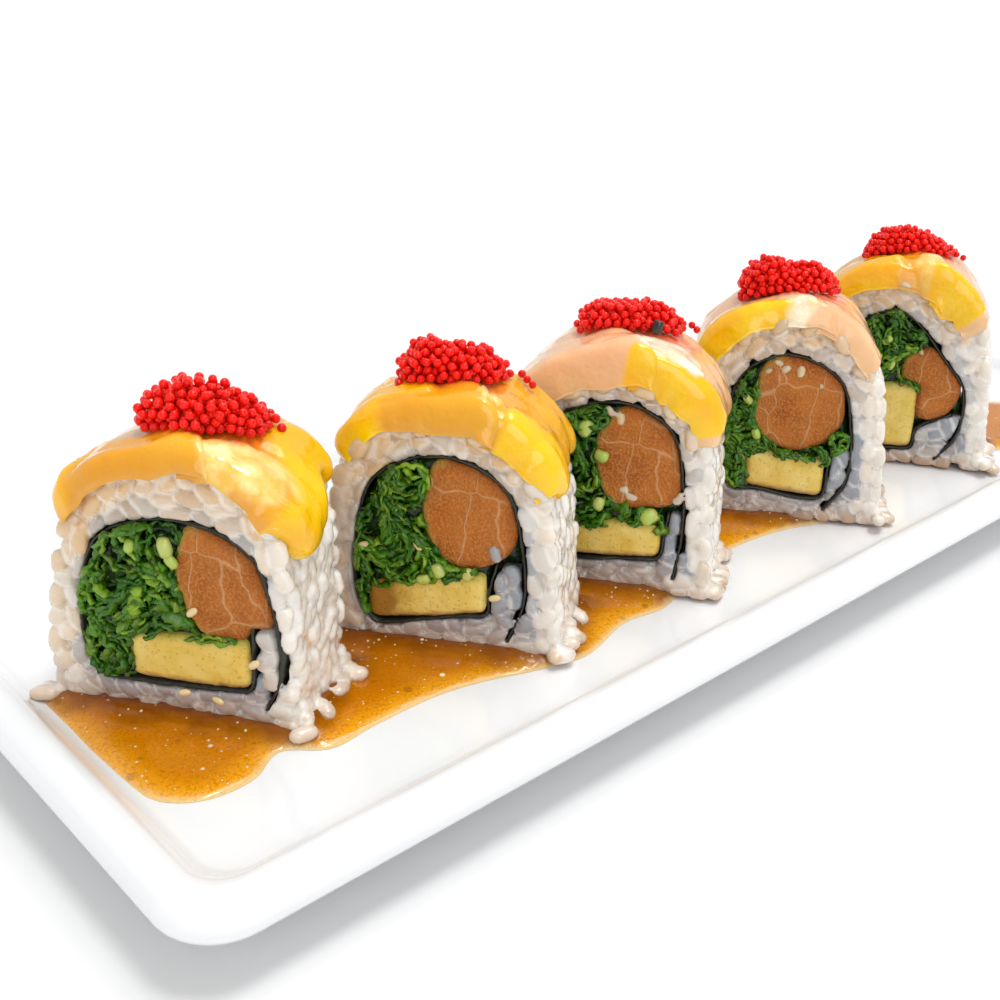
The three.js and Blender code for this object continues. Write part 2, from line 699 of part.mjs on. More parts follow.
function buildSauce() {
  const corners = sauceShore.map(([along, across]) => (
    new THREE.Vector3(along - plateLength / 2, across - plateWidth / 2, 0)
  ));
  const shore = new THREE.CatmullRomCurve3(corners, true, 'centripetal');
  const points = shore.getSpacedPoints(shorePoints).slice(0, -1);
  const ring = (inset, height) => points.map((point, index) => {
    const before = points[(index + points.length - 1) % points.length];
    const after = points[(index + 1) % points.length];
    const along = after.clone().sub(before).normalize();
    return new THREE.Vector3(point.x - along.y * inset, point.y + along.x * inset, height);
  });
  const floor = wellFloor + gap;
  const puddle = loft([ring(0, floor), ring(0.9, floor + sauceDepth * 0.7), ring(2.2, floor + sauceDepth)]);
  const pool = toSolid(puddle).subtract(toSolid(plateGeometry()).translate(0, 0, gap));
  const feet = rolls.map((roll) => {
    const width = 2 * (footHalfWidth + sauceMargin);
    const block = new THREE.BoxGeometry(width, roll.thickness + 2 * gap, 6 * sauceDepth);
    block.translate(0, roll.thickness / 2, 0);
    block.applyMatrix4(placeRoll(new THREE.Object3D(), roll).matrixWorld);
    return toSolid(block);
  });
  const cut = feet.reduce((solid, foot) => solid.subtract(foot), pool);
  return makeMesh('sauce_pool', toGeometry(largestBody(cut)), 'brownSauce');
}

const sunriseRolls = new THREE.Group();
sunriseRolls.add(makeMesh('plate', plateGeometry(), 'porcelain'), buildSauce(), ...rolls.map(buildRoll));

export default sunriseRolls;
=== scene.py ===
import math

import bpy
import numpy as np
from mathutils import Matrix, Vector
from mathutils.geometry import delaunay_2d_cdt


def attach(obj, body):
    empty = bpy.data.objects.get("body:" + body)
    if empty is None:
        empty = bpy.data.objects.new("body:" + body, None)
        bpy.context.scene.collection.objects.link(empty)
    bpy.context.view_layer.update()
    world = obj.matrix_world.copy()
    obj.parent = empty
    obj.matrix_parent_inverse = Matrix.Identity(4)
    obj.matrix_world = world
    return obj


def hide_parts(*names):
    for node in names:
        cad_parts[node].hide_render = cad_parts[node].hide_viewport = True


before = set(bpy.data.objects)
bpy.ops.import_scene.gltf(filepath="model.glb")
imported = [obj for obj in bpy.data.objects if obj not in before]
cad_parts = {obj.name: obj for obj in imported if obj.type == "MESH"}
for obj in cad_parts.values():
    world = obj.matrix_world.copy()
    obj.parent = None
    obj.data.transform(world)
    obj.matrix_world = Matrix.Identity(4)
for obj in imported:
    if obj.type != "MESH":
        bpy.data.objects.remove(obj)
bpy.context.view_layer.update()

# Lengths are in millimetres up to the point where a mesh is made.
mm = 0.001
gap = 0.3


def colour(code):
    # '#rrggbb' as the linear colour that the shaders want
    parts = [int(code[i:i + 2], 16) / 255 for i in (1, 3, 5)]
    return [p / 12.92 if p <= 0.04045 else ((p + 0.055) / 1.055) ** 2.4 for p in parts] + [1.0]


def smoothStep(low, high, x):
    t = np.clip((x - low) / (high - low), 0, 1)
    return t * t * (3 - 2 * t)


def wobble(x, y, seed, scale=1.0):
    # smooth unevenness between about -1 and 1
    rng = np.random.default_rng(seed)
    total = np.zeros(np.broadcast(x, y).shape)
    for octave in range(5):
        turn = rng.uniform(0, 2 * math.pi)
        phase = rng.uniform(0, 2 * math.pi, 2)
        wave = scale * 1.45 ** octave
        along = x * math.cos(turn) + y * math.sin(turn)
        across = y * math.cos(turn) - x * math.sin(turn)
        waves = np.sin(along * wave + phase[0]) * np.cos(across * wave * 0.8 + phase[1])
        total = total + waves / 1.3 ** octave
    return total / 2.2


def smoothLine(points, closed=False, perSpan=14):
    # centripetal spline through the points
    pts = np.asarray(points, float)
    n = len(pts)
    out = []
    for i in range(n if closed else n - 1):
        p1, p2 = pts[i], pts[(i + 1) % n]
        p0 = pts[i - 1] if closed or i > 0 else 2 * p1 - p2
        p3 = pts[(i + 2) % n] if closed or i + 2 < n else 2 * p2 - p1
        d0, d1, d2 = (max(np.linalg.norm(b - a), 1e-6) ** 0.5 for a, b in ((p0, p1), (p1, p2), (p2, p3)))
        m1 = ((p1 - p0) / d0 - (p2 - p0) / (d0 + d1) + (p2 - p1) / d1) * d1
        m2 = ((p2 - p1) / d1 - (p3 - p1) / (d1 + d2) + (p3 - p2) / d2) * d1
        s = np.linspace(0, 1, perSpan, endpoint=False)[:, None]
        out.append((2 * s**3 - 3 * s**2 + 1) * p1 + (s**3 - 2 * s**2 + s) * m1
                   + (3 * s**2 - 2 * s**3) * p2 + (s**3 - s**2) * m2)
    if not closed:
        out.append(pts[-1:])
    return np.concatenate(out)


def lengthsAlong(line):
    return np.concatenate([[0], np.cumsum(np.linalg.norm(np.diff(line, axis=0), axis=1))])


def spaced(line, step, closed=False):
    # the same line with its points evenly spaced
    pts = np.vstack([line, line[:1]]) if closed else line
    at = lengthsAlong(pts)
    count = max(3, round(at[-1] / step))
    places = np.linspace(0, at[-1], count + 1)
    if closed:
        places = places[:-1]
    return np.stack([np.interp(places, at, pts[:, k]) for k in range(pts.shape[1])], 1)


def insidePolygon(points, polygon):
    x, y = points[..., 0], points[..., 1]
    inside = np.zeros(x.shape, bool)
    for a, b in zip(polygon, np.roll(polygon, -1, 0)):
        if a[1] != b[1]:
            crosses = (a[1] > y) != (b[1] > y)
            inside ^= crosses & (x < (b[0] - a[0]) * (y - a[1]) / (b[1] - a[1]) + a[0])
    return inside


def distanceTo(points, polygon, closed=True):
    best = np.full(points.shape[:-1], 1e9)
    ends = np.roll(polygon, -1, 0) if closed else polygon[1:]
    for a, b in zip(polygon, ends):
        ab = b - a
        share = np.clip(((points - a) @ ab) / max(ab @ ab, 1e-12), 0, 1)
        best = np.minimum(best, np.linalg.norm(points - a - share[..., None] * ab, axis=-1))
    return best


def insideBy(points, polygon):
    # how far inside the polygon a point is; less than 0 outside it
    return np.where(insidePolygon(points, polygon), 1, -1) * distanceTo(points, polygon)


def joinParts(parts):
    # several (points, faces, values) as one
    points, faces, values, start = [], [], {}, 0
    for partPoints, partFaces, partValues in parts:
        points.append(partPoints)
        faces.extend([[i + start for i in face] for face in partFaces])
        start += len(partPoints)
        for name, numbers in partValues.items():
            values.setdefault(name, []).append(np.broadcast_to(numbers, len(partPoints)))
    return np.concatenate(points), faces, {name: np.concatenate(lists) for name, lists in values.items()}


def makePiece(name, part, material, slot, nodes=(), roll=None):
    # one piece from points in millimetres, put where its roll stands
    points, faces, values = part
    points = toPlate(points, roll) if roll else np.asarray(points, float)
    mesh = bpy.data.meshes.new(name)
    mesh.from_pydata((points * mm).tolist(), [], [list(map(int, face)) for face in faces])
    for valueName, numbers in values.items():
        attribute = mesh.attributes.new(valueName, "FLOAT", "POINT")
        attribute.data.foreach_set("value", np.asarray(numbers, np.float32))
    mesh.shade_smooth()
    mesh.update()
    piece = bpy.data.objects.new(name, mesh)
    bpy.context.scene.collection.objects.link(piece)
    mesh.materials.append(material)
    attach(piece, "root")
    if nodes:
        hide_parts(*nodes)


def addNode(tree, kind, values=None, **settings):
    node = tree.nodes.new(kind)
    for name, given in settings.items():
        setattr(node, name, given)
    for name, given in (values or {}).items():
        node.inputs[name].default_value = given
    return node


# Short names for sockets that are set together.
packed = {"coat": ("Coat Weight", "Coat Roughness"),
          "inner": ("Subsurface Weight", "Subsurface Scale", "Subsurface Radius")}


def startMaterial(name, values):
    material = bpy.data.materials.new(name)
    material.use_nodes = True
    surface = material.node_tree.nodes["Principled BSDF"]
    for key, given in values.items():
        for socket, number in zip(packed[key], given) if key in packed else [(key, given)]:
            surface.inputs[socket].default_value = number
    return material, material.node_tree, surface


def startGroup(name, inputs, outputs):
    group = bpy.data.node_groups.new(name, "ShaderNodeTree")
    for socket, number in inputs.items():
        made = group.interface.new_socket(socket, in_out="INPUT", socket_type="NodeSocketFloat")
        made.default_value = number
    for socket in outputs:
        group.interface.new_socket(socket, in_out="OUTPUT", socket_type="NodeSocketFloat")
    return group, group.nodes.new("NodeGroupInput"), group.nodes.new("NodeGroupOutput")


def place(tree, group, **values):
    node = tree.nodes.new("ShaderNodeGroup")
    node.node_tree = group
    for name, number in values.items():
        node.inputs[name].default_value = number
    return node.outputs


def feed(tree, socket, given):
    # given is a socket, a value, '#rrggbb', or the name of a number that the mesh carries at each point
    if isinstance(given, str):
        attribute = given[0] != "#" and addNode(tree, "ShaderNodeAttribute", attribute_name=given)
        given = attribute.outputs["Fac"] if attribute else colour(given)
    if isinstance(given, bpy.types.NodeSocket):
        tree.links.new(given, socket)
    else:
        socket.default_value = given


def blendColours(tree, factor, first, second, kind="MIX"):
    mix = addNode(tree, "ShaderNodeMix", data_type="RGBA", blend_type=kind, clamp_factor=True)
    for socket, given in zip((mix.inputs["Factor"], mix.inputs[6], mix.inputs[7]), (factor, first, second)):
        feed(tree, socket, given)
    return mix.outputs[2]


def sums(tree, operation, first, second, clamp=False):
    node = addNode(tree, "ShaderNodeMath", operation=operation, use_clamp=clamp)
    for socket, given in zip(node.inputs, (first, second)):
        feed(tree, socket, given)
    return node.outputs[0]


def times(tree, first, second, clamp=False):
    return sums(tree, "MULTIPLY", first, second, clamp)


def paint(tree, base, *layers):
    # colours over each other: each layer is where it lies, its colour and, if it is thin, its share
    for where, over, *share in layers:
        base = blendColours(tree, times(tree, where, share[0]) if share else where, base, over)
    return base


def stretch(tree, source, low, high, outLow=0.0, outHigh=1.0):
    values = {"From Min": low, "From Max": high, "To Min": outLow, "To Max": outHigh}
    node = addNode(tree, "ShaderNodeMapRange", values)
    feed(tree, node.inputs["Value"], source)
    return node.outputs["Result"]


def moist(tree, uneven, low, high):
    # roughness that follows the unevenness
    return stretch(tree, uneven["Height"], 0.3, 0.7, low, high)


def spotted(tree, spacing, share, size):
    return place(tree, spots, Spacing=spacing, Share=share, Size=size)["Mask"]


def makeFinish(name, values, size, relief, draw):
    # draw makes the base colour, the roughness and the relief's height from an unevenness of that size
    material, tree, surface = startMaterial(name, values)
    base, rough, height = draw(tree, place(tree, unevenness, Size=size))
    bump = addNode(tree, "ShaderNodeBump", {"Distance": relief * mm, "Strength": 1.0})
    feed(tree, bump.inputs["Height"], height)
    for socket, given in (("Base Color", base), ("Roughness", rough), ("Normal", bump.outputs["Normal"])):
        feed(tree, surface.inputs[socket], given)
    return material


# Soft unevenness of moist food: a height, and a slower patchiness.
def makeUnevenness():
    group, given, out = startGroup("unevenness", {"Size": 1.0}, ("Height", "Patches"))
    where = addNode(group, "ShaderNodeTexCoord").outputs["Object"]
    scale = sums(group, "DIVIDE", 1000.0, given.outputs["Size"])
    fine = addNode(group, "ShaderNodeTexNoise", {"Detail": 3.0, "Roughness": 0.55})
    slow = addNode(group, "ShaderNodeTexNoise", {"Detail": 2.0})
    for texture, factor in ((fine, 1.0), (slow, 0.22)):
        feed(group, texture.inputs["Vector"], where)
        feed(group, texture.inputs["Scale"], times(group, scale, factor))
    feed(group, out.inputs["Height"], fine.outputs["Fac"])
    feed(group, out.inputs["Patches"], stretch(group, slow.outputs["Fac"], 0.35, 0.65))
    return group


# Scattered round spots, such as bubbles, pores and specks.
def makeSpots():
    group, given, out = startGroup("spots", {"Spacing": 1.0, "Share": 0.5, "Size": 0.3}, ("Mask",))
    cells = addNode(group, "ShaderNodeTexVoronoi", {"Randomness": 1.0})
    feed(group, cells.inputs["Vector"], addNode(group, "ShaderNodeTexCoord").outputs["Object"])
    feed(group, cells.inputs["Scale"], sums(group, "DIVIDE", 1000.0, given.outputs["Spacing"]))
    split = addNode(group, "ShaderNodeSeparateColor")
    feed(group, split.inputs["Color"], cells.outputs["Color"])
    chosen = sums(group, "LESS_THAN", split.outputs["Red"], given.outputs["Share"])
    reach = times(group, given.outputs["Size"], sums(group, "ADD", split.outputs["Green"], 0.35))
    depth = sums(group, "SUBTRACT", 1.0, sums(group, "DIVIDE", cells.outputs["Distance"], reach))
    feed(group, out.inputs["Mask"], times(group, times(group, depth, 2.5, clamp=True), chosen))
    return group


unevenness = makeUnevenness()
spots = makeSpots()


def drawPorcelain(tree, uneven):
    glaze = paint(tree, "#eceef0", (uneven["Patches"], "#f1f2f4"))
    return glaze, stretch(tree, uneven["Patches"], 0, 1, 0.13, 0.2), uneven["Height"]


def drawRice(tree, uneven):
    # blue: grey-blue rice, partly the sheet seen through it and partly painted shade
    grain = paint(tree, "#efeae2", ("tint", "#e2dbd0"), ("beige", "#dfbd8e"), ("blue", "#8f949e"),
                  ("brown", "#b5803e"))
    # painted light: paler outlines on each grain stand in for light through the grains and lift the shade of
    # the creases
    grain = paint(tree, grain, ("rim", paint(tree, grain, (0.5, "#fffdf8"))))
    # painted shade: the rice is darkened where its skin lies deep in the gaps between grains
    grain = blendColours(tree, times(tree, "deep", 0.3), grain, "#d0b48c", kind="MULTIPLY")
    grain = paint(tree, grain, (uneven["Patches"], "#d2cabf", 0.14))
    return grain, moist(tree, uneven, 0.18, 0.36), uneven["Height"]


def drawNori(tree, uneven):
    sheet = paint(tree, "#0a0d08", (uneven["Patches"], "#1a2010"))
    return sheet, moist(tree, uneven, 0.3, 0.6), uneven["Height"]


def drawSeaweed(tree, uneven):
    # painted shade: strands further in, and the backing behind them, darken to near black
    strand = paint(tree, "#1f5c00", ("tint", "#528c04"), ("pale", "#9cc02a"), ("deep", "#061702"),
                   (uneven["Patches"], "#1a4800", 0.4))
    return strand, moist(tree, uneven, 0.12, 0.34), uneven["Height"]


def drawSalmon(tree, uneven):
    # fat runs between bent and squeezed cells
    where = addNode(tree, "ShaderNodeCombineXYZ")
    for socket, name in zip(where.inputs, ("across", "lengthwise", "rise")):
        feed(tree, socket, name)
    bend = addNode(tree, "ShaderNodeTexNoise", {"Scale": 0.16, "Detail": 1.0})
    shift = addNode(tree, "ShaderNodeVectorMath", operation="MULTIPLY_ADD")
    squeeze = addNode(tree, "ShaderNodeMapping", {"Scale": (1.0, 0.16, 0.78), "Rotation": (0.0, 0.5, 0.0)})
    flakes = addNode(tree, "ShaderNodeTexVoronoi", {"Scale": 0.115, "Randomness": 1.0},
                     feature="DISTANCE_TO_EDGE")
    feed(tree, bend.inputs["Vector"], where.outputs["Vector"])
    for socket, given in zip(shift.inputs, (bend.outputs["Color"], (6.0, 0.0, 6.0), where.outputs["Vector"])):
        feed(tree, socket, given)
    feed(tree, squeeze.inputs["Vector"], shift.outputs["Vector"])
    feed(tree, flakes.inputs["Vector"], squeeze.outputs["Vector"])
    fromLine, fibres = flakes.outputs["Distance"], place(tree, unevenness, Size=0.45)["Height"]
    fat = stretch(tree, fromLine, 0.004, 0.026, 0.6, 0.0)
    flesh = paint(tree, "#9c4e04", (uneven["Patches"], "#bc6a18"),
                  (stretch(tree, fromLine, 0.02, 0.3, 0.5, 0.0), "#c9803c"),
                  (stretch(tree, fibres, 0.46, 0.6, 0.0, 0.7), "#cf8748"), (fat, "#e2b07c"),
                  ("left", "#b5984a"), ("edge", "#8a4408"))
    return flesh, moist(tree, uneven, 0.26, 0.46), sums(tree, "ADD", fibres, times(tree, fat, 0.5))


def drawOmelette(tree, uneven):
    pores, holes = spotted(tree, 0.6, 0.75, 0.34), spotted(tree, 4.0, 0.3, 0.14)
    crumb = paint(tree, "#e2bf4c", (uneven["Patches"], "#eed476"), ("green", "#90992a"), ("stain", "#a8741c"),
                  ("skin", "#b58a55"), (pores, "#c09c30", 0.3), (holes, "#b87818", 0.7))
    height = sums(tree, "SUBTRACT", uneven["Height"], times(tree, pores, 0.35))
    return crumb, moist(tree, uneven, 0.45, 0.7), height


def makeSliceFinish(name, flesh, fleshDark, cream, creamDark, front):
    # fish with its sauce: cream is melted dressing, yellow the thick sauce, thin the fish's lean edges; front
    # is painted shade on the lower front face that hangs over the cut
    def drawSlice(tree, uneven):
        height, patches, fine = uneven["Height"], uneven["Patches"], place(tree, unevenness, Size=0.9)
        streaks = blendColours(tree, stretch(tree, height, 0.4, 0.62), cream, creamDark)
        yellow = paint(tree, "#ffd000", (patches, "#f9b200"))
        base = paint(tree, flesh, (patches, fleshDark), ("thin", "#dcb078"), ("front", front, 0.6),
                     ("cream", streaks), ("yellow", yellow), ("red", "#f4582c"))
        height = sums(tree, "ADD", height, times(tree, fine["Height"], 0.1))
        return base, moist(tree, fine, 0.1, 0.26), height
    values = {"coat": (0.8, 0.03), "IOR": 1.33, "inner": (0.3, 0.002, (1.0, 0.55, 0.2))}
    return makeFinish(name, values, 3.4, 0.4, drawSlice)


def makeRoeFinish():
    # see-through eggs with painted light: brighter red towards their outlines by the angle of view; painted
    # shade darkens the lowest eggs
    material, tree, surface = startMaterial("redRoe", {
        "Roughness": 0.12, "coat": (0.6, 0.02), "IOR": 1.3, "inner": (0.5, 0.001, (1.0, 0.05, 0.03)),
        "Specular Tint": colour("#ff5a4a"),
    })
    facing = addNode(tree, "ShaderNodeLayerWeight", {"Blend": 0.4})
    feed(tree, surface.inputs["Base Color"], paint(tree, "#e00000", ("tint", "#f20a04"), ("low", "#b80004"),
                                                   (facing.outputs["Facing"], "#ff3018")))
    return material


def drawSauce(tree, uneven):
    swirl, grit = (place(tree, unevenness, Size=size) for size in (4.0, 0.5))
    bubbles, drops = spotted(tree, 1.2, 0.55, 0.2), spotted(tree, 3.6, 0.35, 0.15)
    body = paint(tree, "#f0a61c", ("deep", "#d98600"), (times(tree, swirl["Patches"], "deep"), "#c27204"),
                 (stretch(tree, grit["Height"], 0.5, 0.62, 0.0, 0.5), "#a85e06"), ("shade", "#7a3d04"),
                 (spotted(tree, 3.0, 0.25, 0.24), "#7a4a10", 0.45), (bubbles, "#fbe8bc", 0.85),
                 (drops, "#fff2d8", 0.9), ("edge", "#f4d8a0"))
    height = sums(tree, "ADD", times(tree, uneven["Height"], 0.5), times(tree, bubbles, 0.5))
    return body, moist(tree, uneven, 0.06, 0.16), height


def drawSeed(tree, uneven):
    seed = paint(tree, "#e8cf9d", ("pale", "#9cc23e"), (uneven["Patches"], "#c9b25c", 0.4),
                 ("dark", "#140d02"))
    return seed, 0.3, uneven["Height"]


# Each finish has its surface, the size and height of its unevenness in millimetres, and its colours.
porcelain = makeFinish("porcelain", {"coat": (0.3, 0.05), "IOR": 1.45,
                                     "inner": (0.08, 0.002, (1.0, 0.95, 0.9))}, 18.0, 0.03, drawPorcelain)
riceFinish = makeFinish("cookedRice", {"coat": (0.9, 0.1), "IOR": 1.4,
                                       "inner": (0.85, 0.0018, (1.0, 0.9, 0.78))}, 1.3, 0.12, drawRice)
noriFinish = makeFinish("moistNori", {"coat": (0.4, 0.25)}, 0.7, 0.25, drawNori)
seaweedFinish = makeFinish("seaweedSalad", {"coat": (0.5, 0.05), "IOR": 1.33,
                                            "inner": (0.15, 0.0008, (0.4, 1.0, 0.2))}, 0.8, 0.3, drawSeaweed)
salmonFinish = makeFinish("salmonFlesh", {"coat": (0.12, 0.05), "IOR": 1.25,
                                          "inner": (0.3, 0.0012, (1.0, 0.4, 0.1))}, 1.6, 0.55, drawSalmon)
omeletteFinish = makeFinish("omelette", {"coat": (0.15, 0.3), "inner": (0.25, 0.0012, (1.0, 0.8, 0.3))},
                            1.4, 0.25, drawOmelette)
# the last colour of each slice finish is painted shade on the slices' lower front face
glazedFinish = makeSliceFinish("glazedFish", "#f6b828", "#eca414", "#fbda86", "#f4bf50", "#de9414")
fishFinish = makeSliceFinish("bareFish", "#f9ca9a", "#f0b684", "#fdf0da", "#f6d6a4", "#efb07c")
roeFinish = makeRoeFinish()
sauceFinish = makeFinish("brownSauce", {"coat": (0.5, 0.03), "IOR": 1.33,
                                        "inner": (0.15, 0.001, (1.0, 0.5, 0.1))}, 2.2, 0.3, drawSauce)
seedFinish = makeFinish("sesame", {"coat": (0.6, 0.1)}, 0.8, 0.1, drawSeed)
print("materials made")


def gridFaces(rows, columns, start=0, wrap=True, flip=False):
    # quads between rows of points; wrap joins the end of a row to its start
    faces = []
    for r in range(start, start + (rows - 1) * columns, columns):
        for c in range(columns if wrap else columns - 1):
            after = (c + 1) % columns
            faces.append([r + c, r + after, r + columns + after, r + columns + c])
    return [face[::-1] for face in faces] if flip else faces


def loftFaces(rings, count):
    # closed skin over rings of points, from the first to the last
    ends = [list(range(count))[::-1], list(range((rings - 1) * count, rings * count))]
    return gridFaces(rings, count) + ends


def shellFaces(rows, columns):
    # closed skin of a sheet: the grid of its top, then the grid of its bottom
    n = rows * columns
    right, last = columns - 1, (rows - 1) * columns
    rim = [*range(columns), *range(columns + right, n, columns), *range(last + right - 1, last - 1, -1),
           *range(last - columns, 0, -columns)]
    walls = [[a, n + a, n + b, b] for a, b in zip(rim, rim[1:] + rim[:1])]
    return gridFaces(rows, columns, wrap=False) + gridFaces(rows, columns, n, wrap=False, flip=True) + walls


def betweenSheets(first, second, faces):
    # closed skin of a flat mesh at two heights
    n = len(first)
    sides = dict.fromkeys((a, b) for face in faces.tolist() for a, b in zip(face, face[1:] + face[:1]))
    walls = [[a, a + n, b + n, b] for a, b in sides if (b, a) not in sides]
    return np.vstack([first, second]), faces.tolist() + (faces[:, ::-1] + n).tolist() + walls


plateValues = {
    "length": 292, "width": 120, "corner": 6.5, "inner": 6, "cornerSteps": 22, "perSpan": 5,
    # out from the rim's crest, and up, from the recess under the plate to the floor of the well
    "foot": [(-21.4, 5.5), (-20.2, 0.5), (-19.8, 0.0), (-16.2, 0.0), (-15.8, 0.5), (-14.6, 4.7)],
    "rim": [(-14.6, 4.7), (-7, 6.4), (0.6, 8.2), (3.2, 10.2), (3.8, 12.2), (3, 14.4), (1.4, 15.7), (-0.4, 16),
            (-2.2, 15.4), (-3.8, 13.8), (-5, 12.4), (-6.8, 11.4), (-9, 11)],
}


def plateRing(grow, height):
    v = plateValues
    radius = max(v["corner"] + grow, v["inner"])
    ring = []
    for corner, (sx, sy) in enumerate(((1, 1), (-1, 1), (-1, -1), (1, -1))):
        angles = (corner + np.linspace(0, 1, v["cornerSteps"] + 1)) * math.pi / 2
        ring.append(np.stack([sx * (v["length"] / 2 + grow - radius) + radius * np.cos(angles),
                              sy * (v["width"] / 2 + grow - radius) + radius * np.sin(angles),
                              np.full(len(angles), float(height))], 1))
    return np.concatenate(ring)


def buildPlate():
    v = plateValues
    profile = np.vstack([np.array(v["foot"], float), smoothLine(v["rim"], perSpan=v["perSpan"])[1:]])
    rings = [plateRing(grow, height) for grow, height in profile]
    makePiece("platePorcelain", (np.concatenate(rings), loftFaces(len(rings), len(rings[0])), {}), porcelain,
              "porcelain", ["plate"])


buildPlate()
print("plate made")


rollValues = {"footHalfWidth": 21.5, "noriThickness": 0.7, "stand": 11.3, "directions": 120,
              "salmonPower": 2.6}

# across and along place the front foot, from the left end and the front side of the rim's crest.
# In the cut face, u runs to the right of that foot and z up.
rolls = [
    {"along": 20.95, "across": 45.75, "turn": -57, "thickness": 21, "crown": 44.6, "lean": 3.4, "seed": 11,
     "stuck": 0, "ring": (-15, 18.8, 17, 35.2, 4, 0), "omelette": (-6.6, 13.2, 6.8, 7.4, 8.5),
     "salmon": (11.2, 26, 15.8, 20.4), "tongue": (14.8, 18.6), "seam": (15.6, 3.2),
     "slices": (0.315, 0.68, 0.5, 0.075, 7.5), "roe": (4.8, 15, 9.6, 11, 6.2, 13.6),
     "heap": (0.75, 1.05, 1.0, 0.78, 0.35), "droop": (0.0, 1.0, 0.6, 0.0, 0.0), "slim": 1.0, "bulge": 1.2,
     "stain": 0.0, "seeds": [(2.5, 5.5), (8.3, 5.0), (15.0, 12.5), (5.3, 20.3)],
     "bits": [(-4.0, 30.5, 2.4), (2.0, 31.0, 3.4), (2.9, 28.8, 2.6)], "crumbs": []},
    {"along": 66.2, "across": 34.3, "turn": -54.6, "thickness": 21, "crown": 44, "lean": 1, "seed": 23,
     "stuck": 4, "ring": (-15, 15, 17, 36.4, 1, 0), "omelette": (-12.4, 8, 4.8, 7.8, 7.6),
     "salmon": (5.8, 26.9, 15.4, 20), "tongue": (10.4, 17.4), "seam": (12, 2.4),
     "slices": (0.33, 0.715, 0.52, 0.02, 3), "roe": (0.6, 14.6, 10, 9.5, 6.4, 12),
     "heap": (0.6, 1.1, 0.92, 0.85, 0.4), "droop": (0.0, 0.3, 2.0, 2.4, 0.8), "slim": 0.8, "bulge": 0.5,
     "stain": 1.0, "seeds": [(-3.2, 20.3), (-13.0, 19.2), (10.3, 11.6)],
     "bits": [(-2.3, 13.9, 2.4), (0.4, 15.9, 2.8), (5.6, 15.6, 2.4)], "crumbs": [(10.2, 19.6, 3.6)]},
    {"along": 103.1, "across": 31.7, "turn": -57, "thickness": 20.5, "crown": 45.8, "lean": 2.2,
     "seed": 37, "stuck": 6, "ring": (-13.5, 15.8, 19, 38.2, 3.5, 0),
     "omelette": (-6.6, 11.4, 7, 8.2, 7.2), "salmon": (7.6, 27.6, 16.2, 19), "tongue": (13.2, 17.2),
     "seam": (14.6, 3.4), "slices": (0.3, 0.73, 0.5, 0.0, 1), "roe": (2.8, 16.4, 13.6, 9.5, 4.6, 12.6),
     "heap": (0.8, 1.0, 1.05, 0.85, 0.3), "droop": (2.6, 3.6, 3.2, 3.0, 2.0), "slim": 0.85, "bulge": 0.5,
     "stain": 0.0, "seeds": [(-5.2, 14.6)], "bits": [(0.2, 18.2, 2.6), (-2.6, 33.0, 3.4), (0.4, 27.9, 2.8),
     (9.8, 16.6, 3.6)], "crumbs": [(1.6, 36.4, 2.6), (3.6, 35.2, 3.2), (6.3, 20.0, 3.0), (4.6, 21.4, 2.6),
     (15.0, 20.6, 3.4)], "nib": (0.55, 8.8, 5.2)},
    {"along": 154.8, "across": 27.6, "turn": -51, "thickness": 21, "crown": 45, "lean": 0.4, "seed": 41,
     "stuck": 6, "ring": (-12.5, 13.8, 17, 37.2, -1, 0), "omelette": (-6.8, 8.6, 8.2, 6.4, 8.6),
     "salmon": (2.4, 27, 17.8, 19.8), "tongue": (10, 17), "seam": (9.4, 2.4),
     "slices": (0.31, 0.69, 0.5, 0.0, 8), "roe": (-0.4, 17, 11.2, 10, 6.4, 9.6),
     "heap": (0.7, 1.15, 0.85, 0.8, 0.45), "droop": (0.2, 0.4, 0.2, 1.6, 2.2), "slim": 0.5, "bulge": 0.5,
     "stain": 0.0, "seeds": [(-9.6, 24.0)], "bits": [(-8.0, 27.5, 2.4), (-5.8, 20.0, 2.6)],
     "crumbs": [(-2.4, 35.4, 2.4), (-4.2, 33.7, 2.4), (-0.8, 34.1, 2.8), (2.2, 33.8, 3.2),
     (-2.6, 28.3, 1.8), (-0.7, 26.2, 1.6), (2.9, 22.6, 1.8), (6.7, 31.1, 2.2)]},
    {"along": 202.2, "across": 30.1, "turn": -61, "thickness": 21, "crown": 45.4, "lean": -0.6, "seed": 59,
     "stuck": 5, "ring": (-15, 14.8, 16, 37.2, -1.5, 7), "omelette": (-9, 4.4, 4.4, 4.8, 15.4),
     "salmon": (7.2, 20.6, 12.8, 16.6), "tongue": (13, 13.6), "seam": (10.6, 1.9),
     "slices": (0.305, 0.69, 0.52, 0.0, 3), "roe": (-1, 17.5, 13, 9.5, 5, 9.6),
     "heap": (0.45, 1.1, 1.05, 0.65, 0.35), "droop": (0.4, 0.4, 1.6, 5.5, 3.5), "slim": 0.5, "bulge": 0.5,
     "stain": 0.0, "seeds": [(-8.0, 30.0)],
     "bits": [(-5.5, 26.0, 3.2), (-2.0, 24.5, 2.4), (-3.5, 30.5, 2.6)], "crumbs": [(4.4, 28.0, 2.0)]},
]


def toPlate(points, roll):
    # from (u, depth, z) in a roll to the plate's frame
    turn = math.radians(roll["turn"])
    u, depth, z = np.asarray(points, float).T
    x = roll["along"] - plateValues["length"] / 2 + u * math.cos(turn) - depth * math.sin(turn)
    y = roll["across"] - plateValues["width"] / 2 + u * math.sin(turn) + depth * math.cos(turn)
    return np.stack([x, y, z + rollValues["stand"]], 1)


def droopOf(roll, share):
    # how far the slices hang down over the cut face
    return np.interp(share, (0.3, 0.4, 0.5, 0.6, 0.7), roll["droop"])


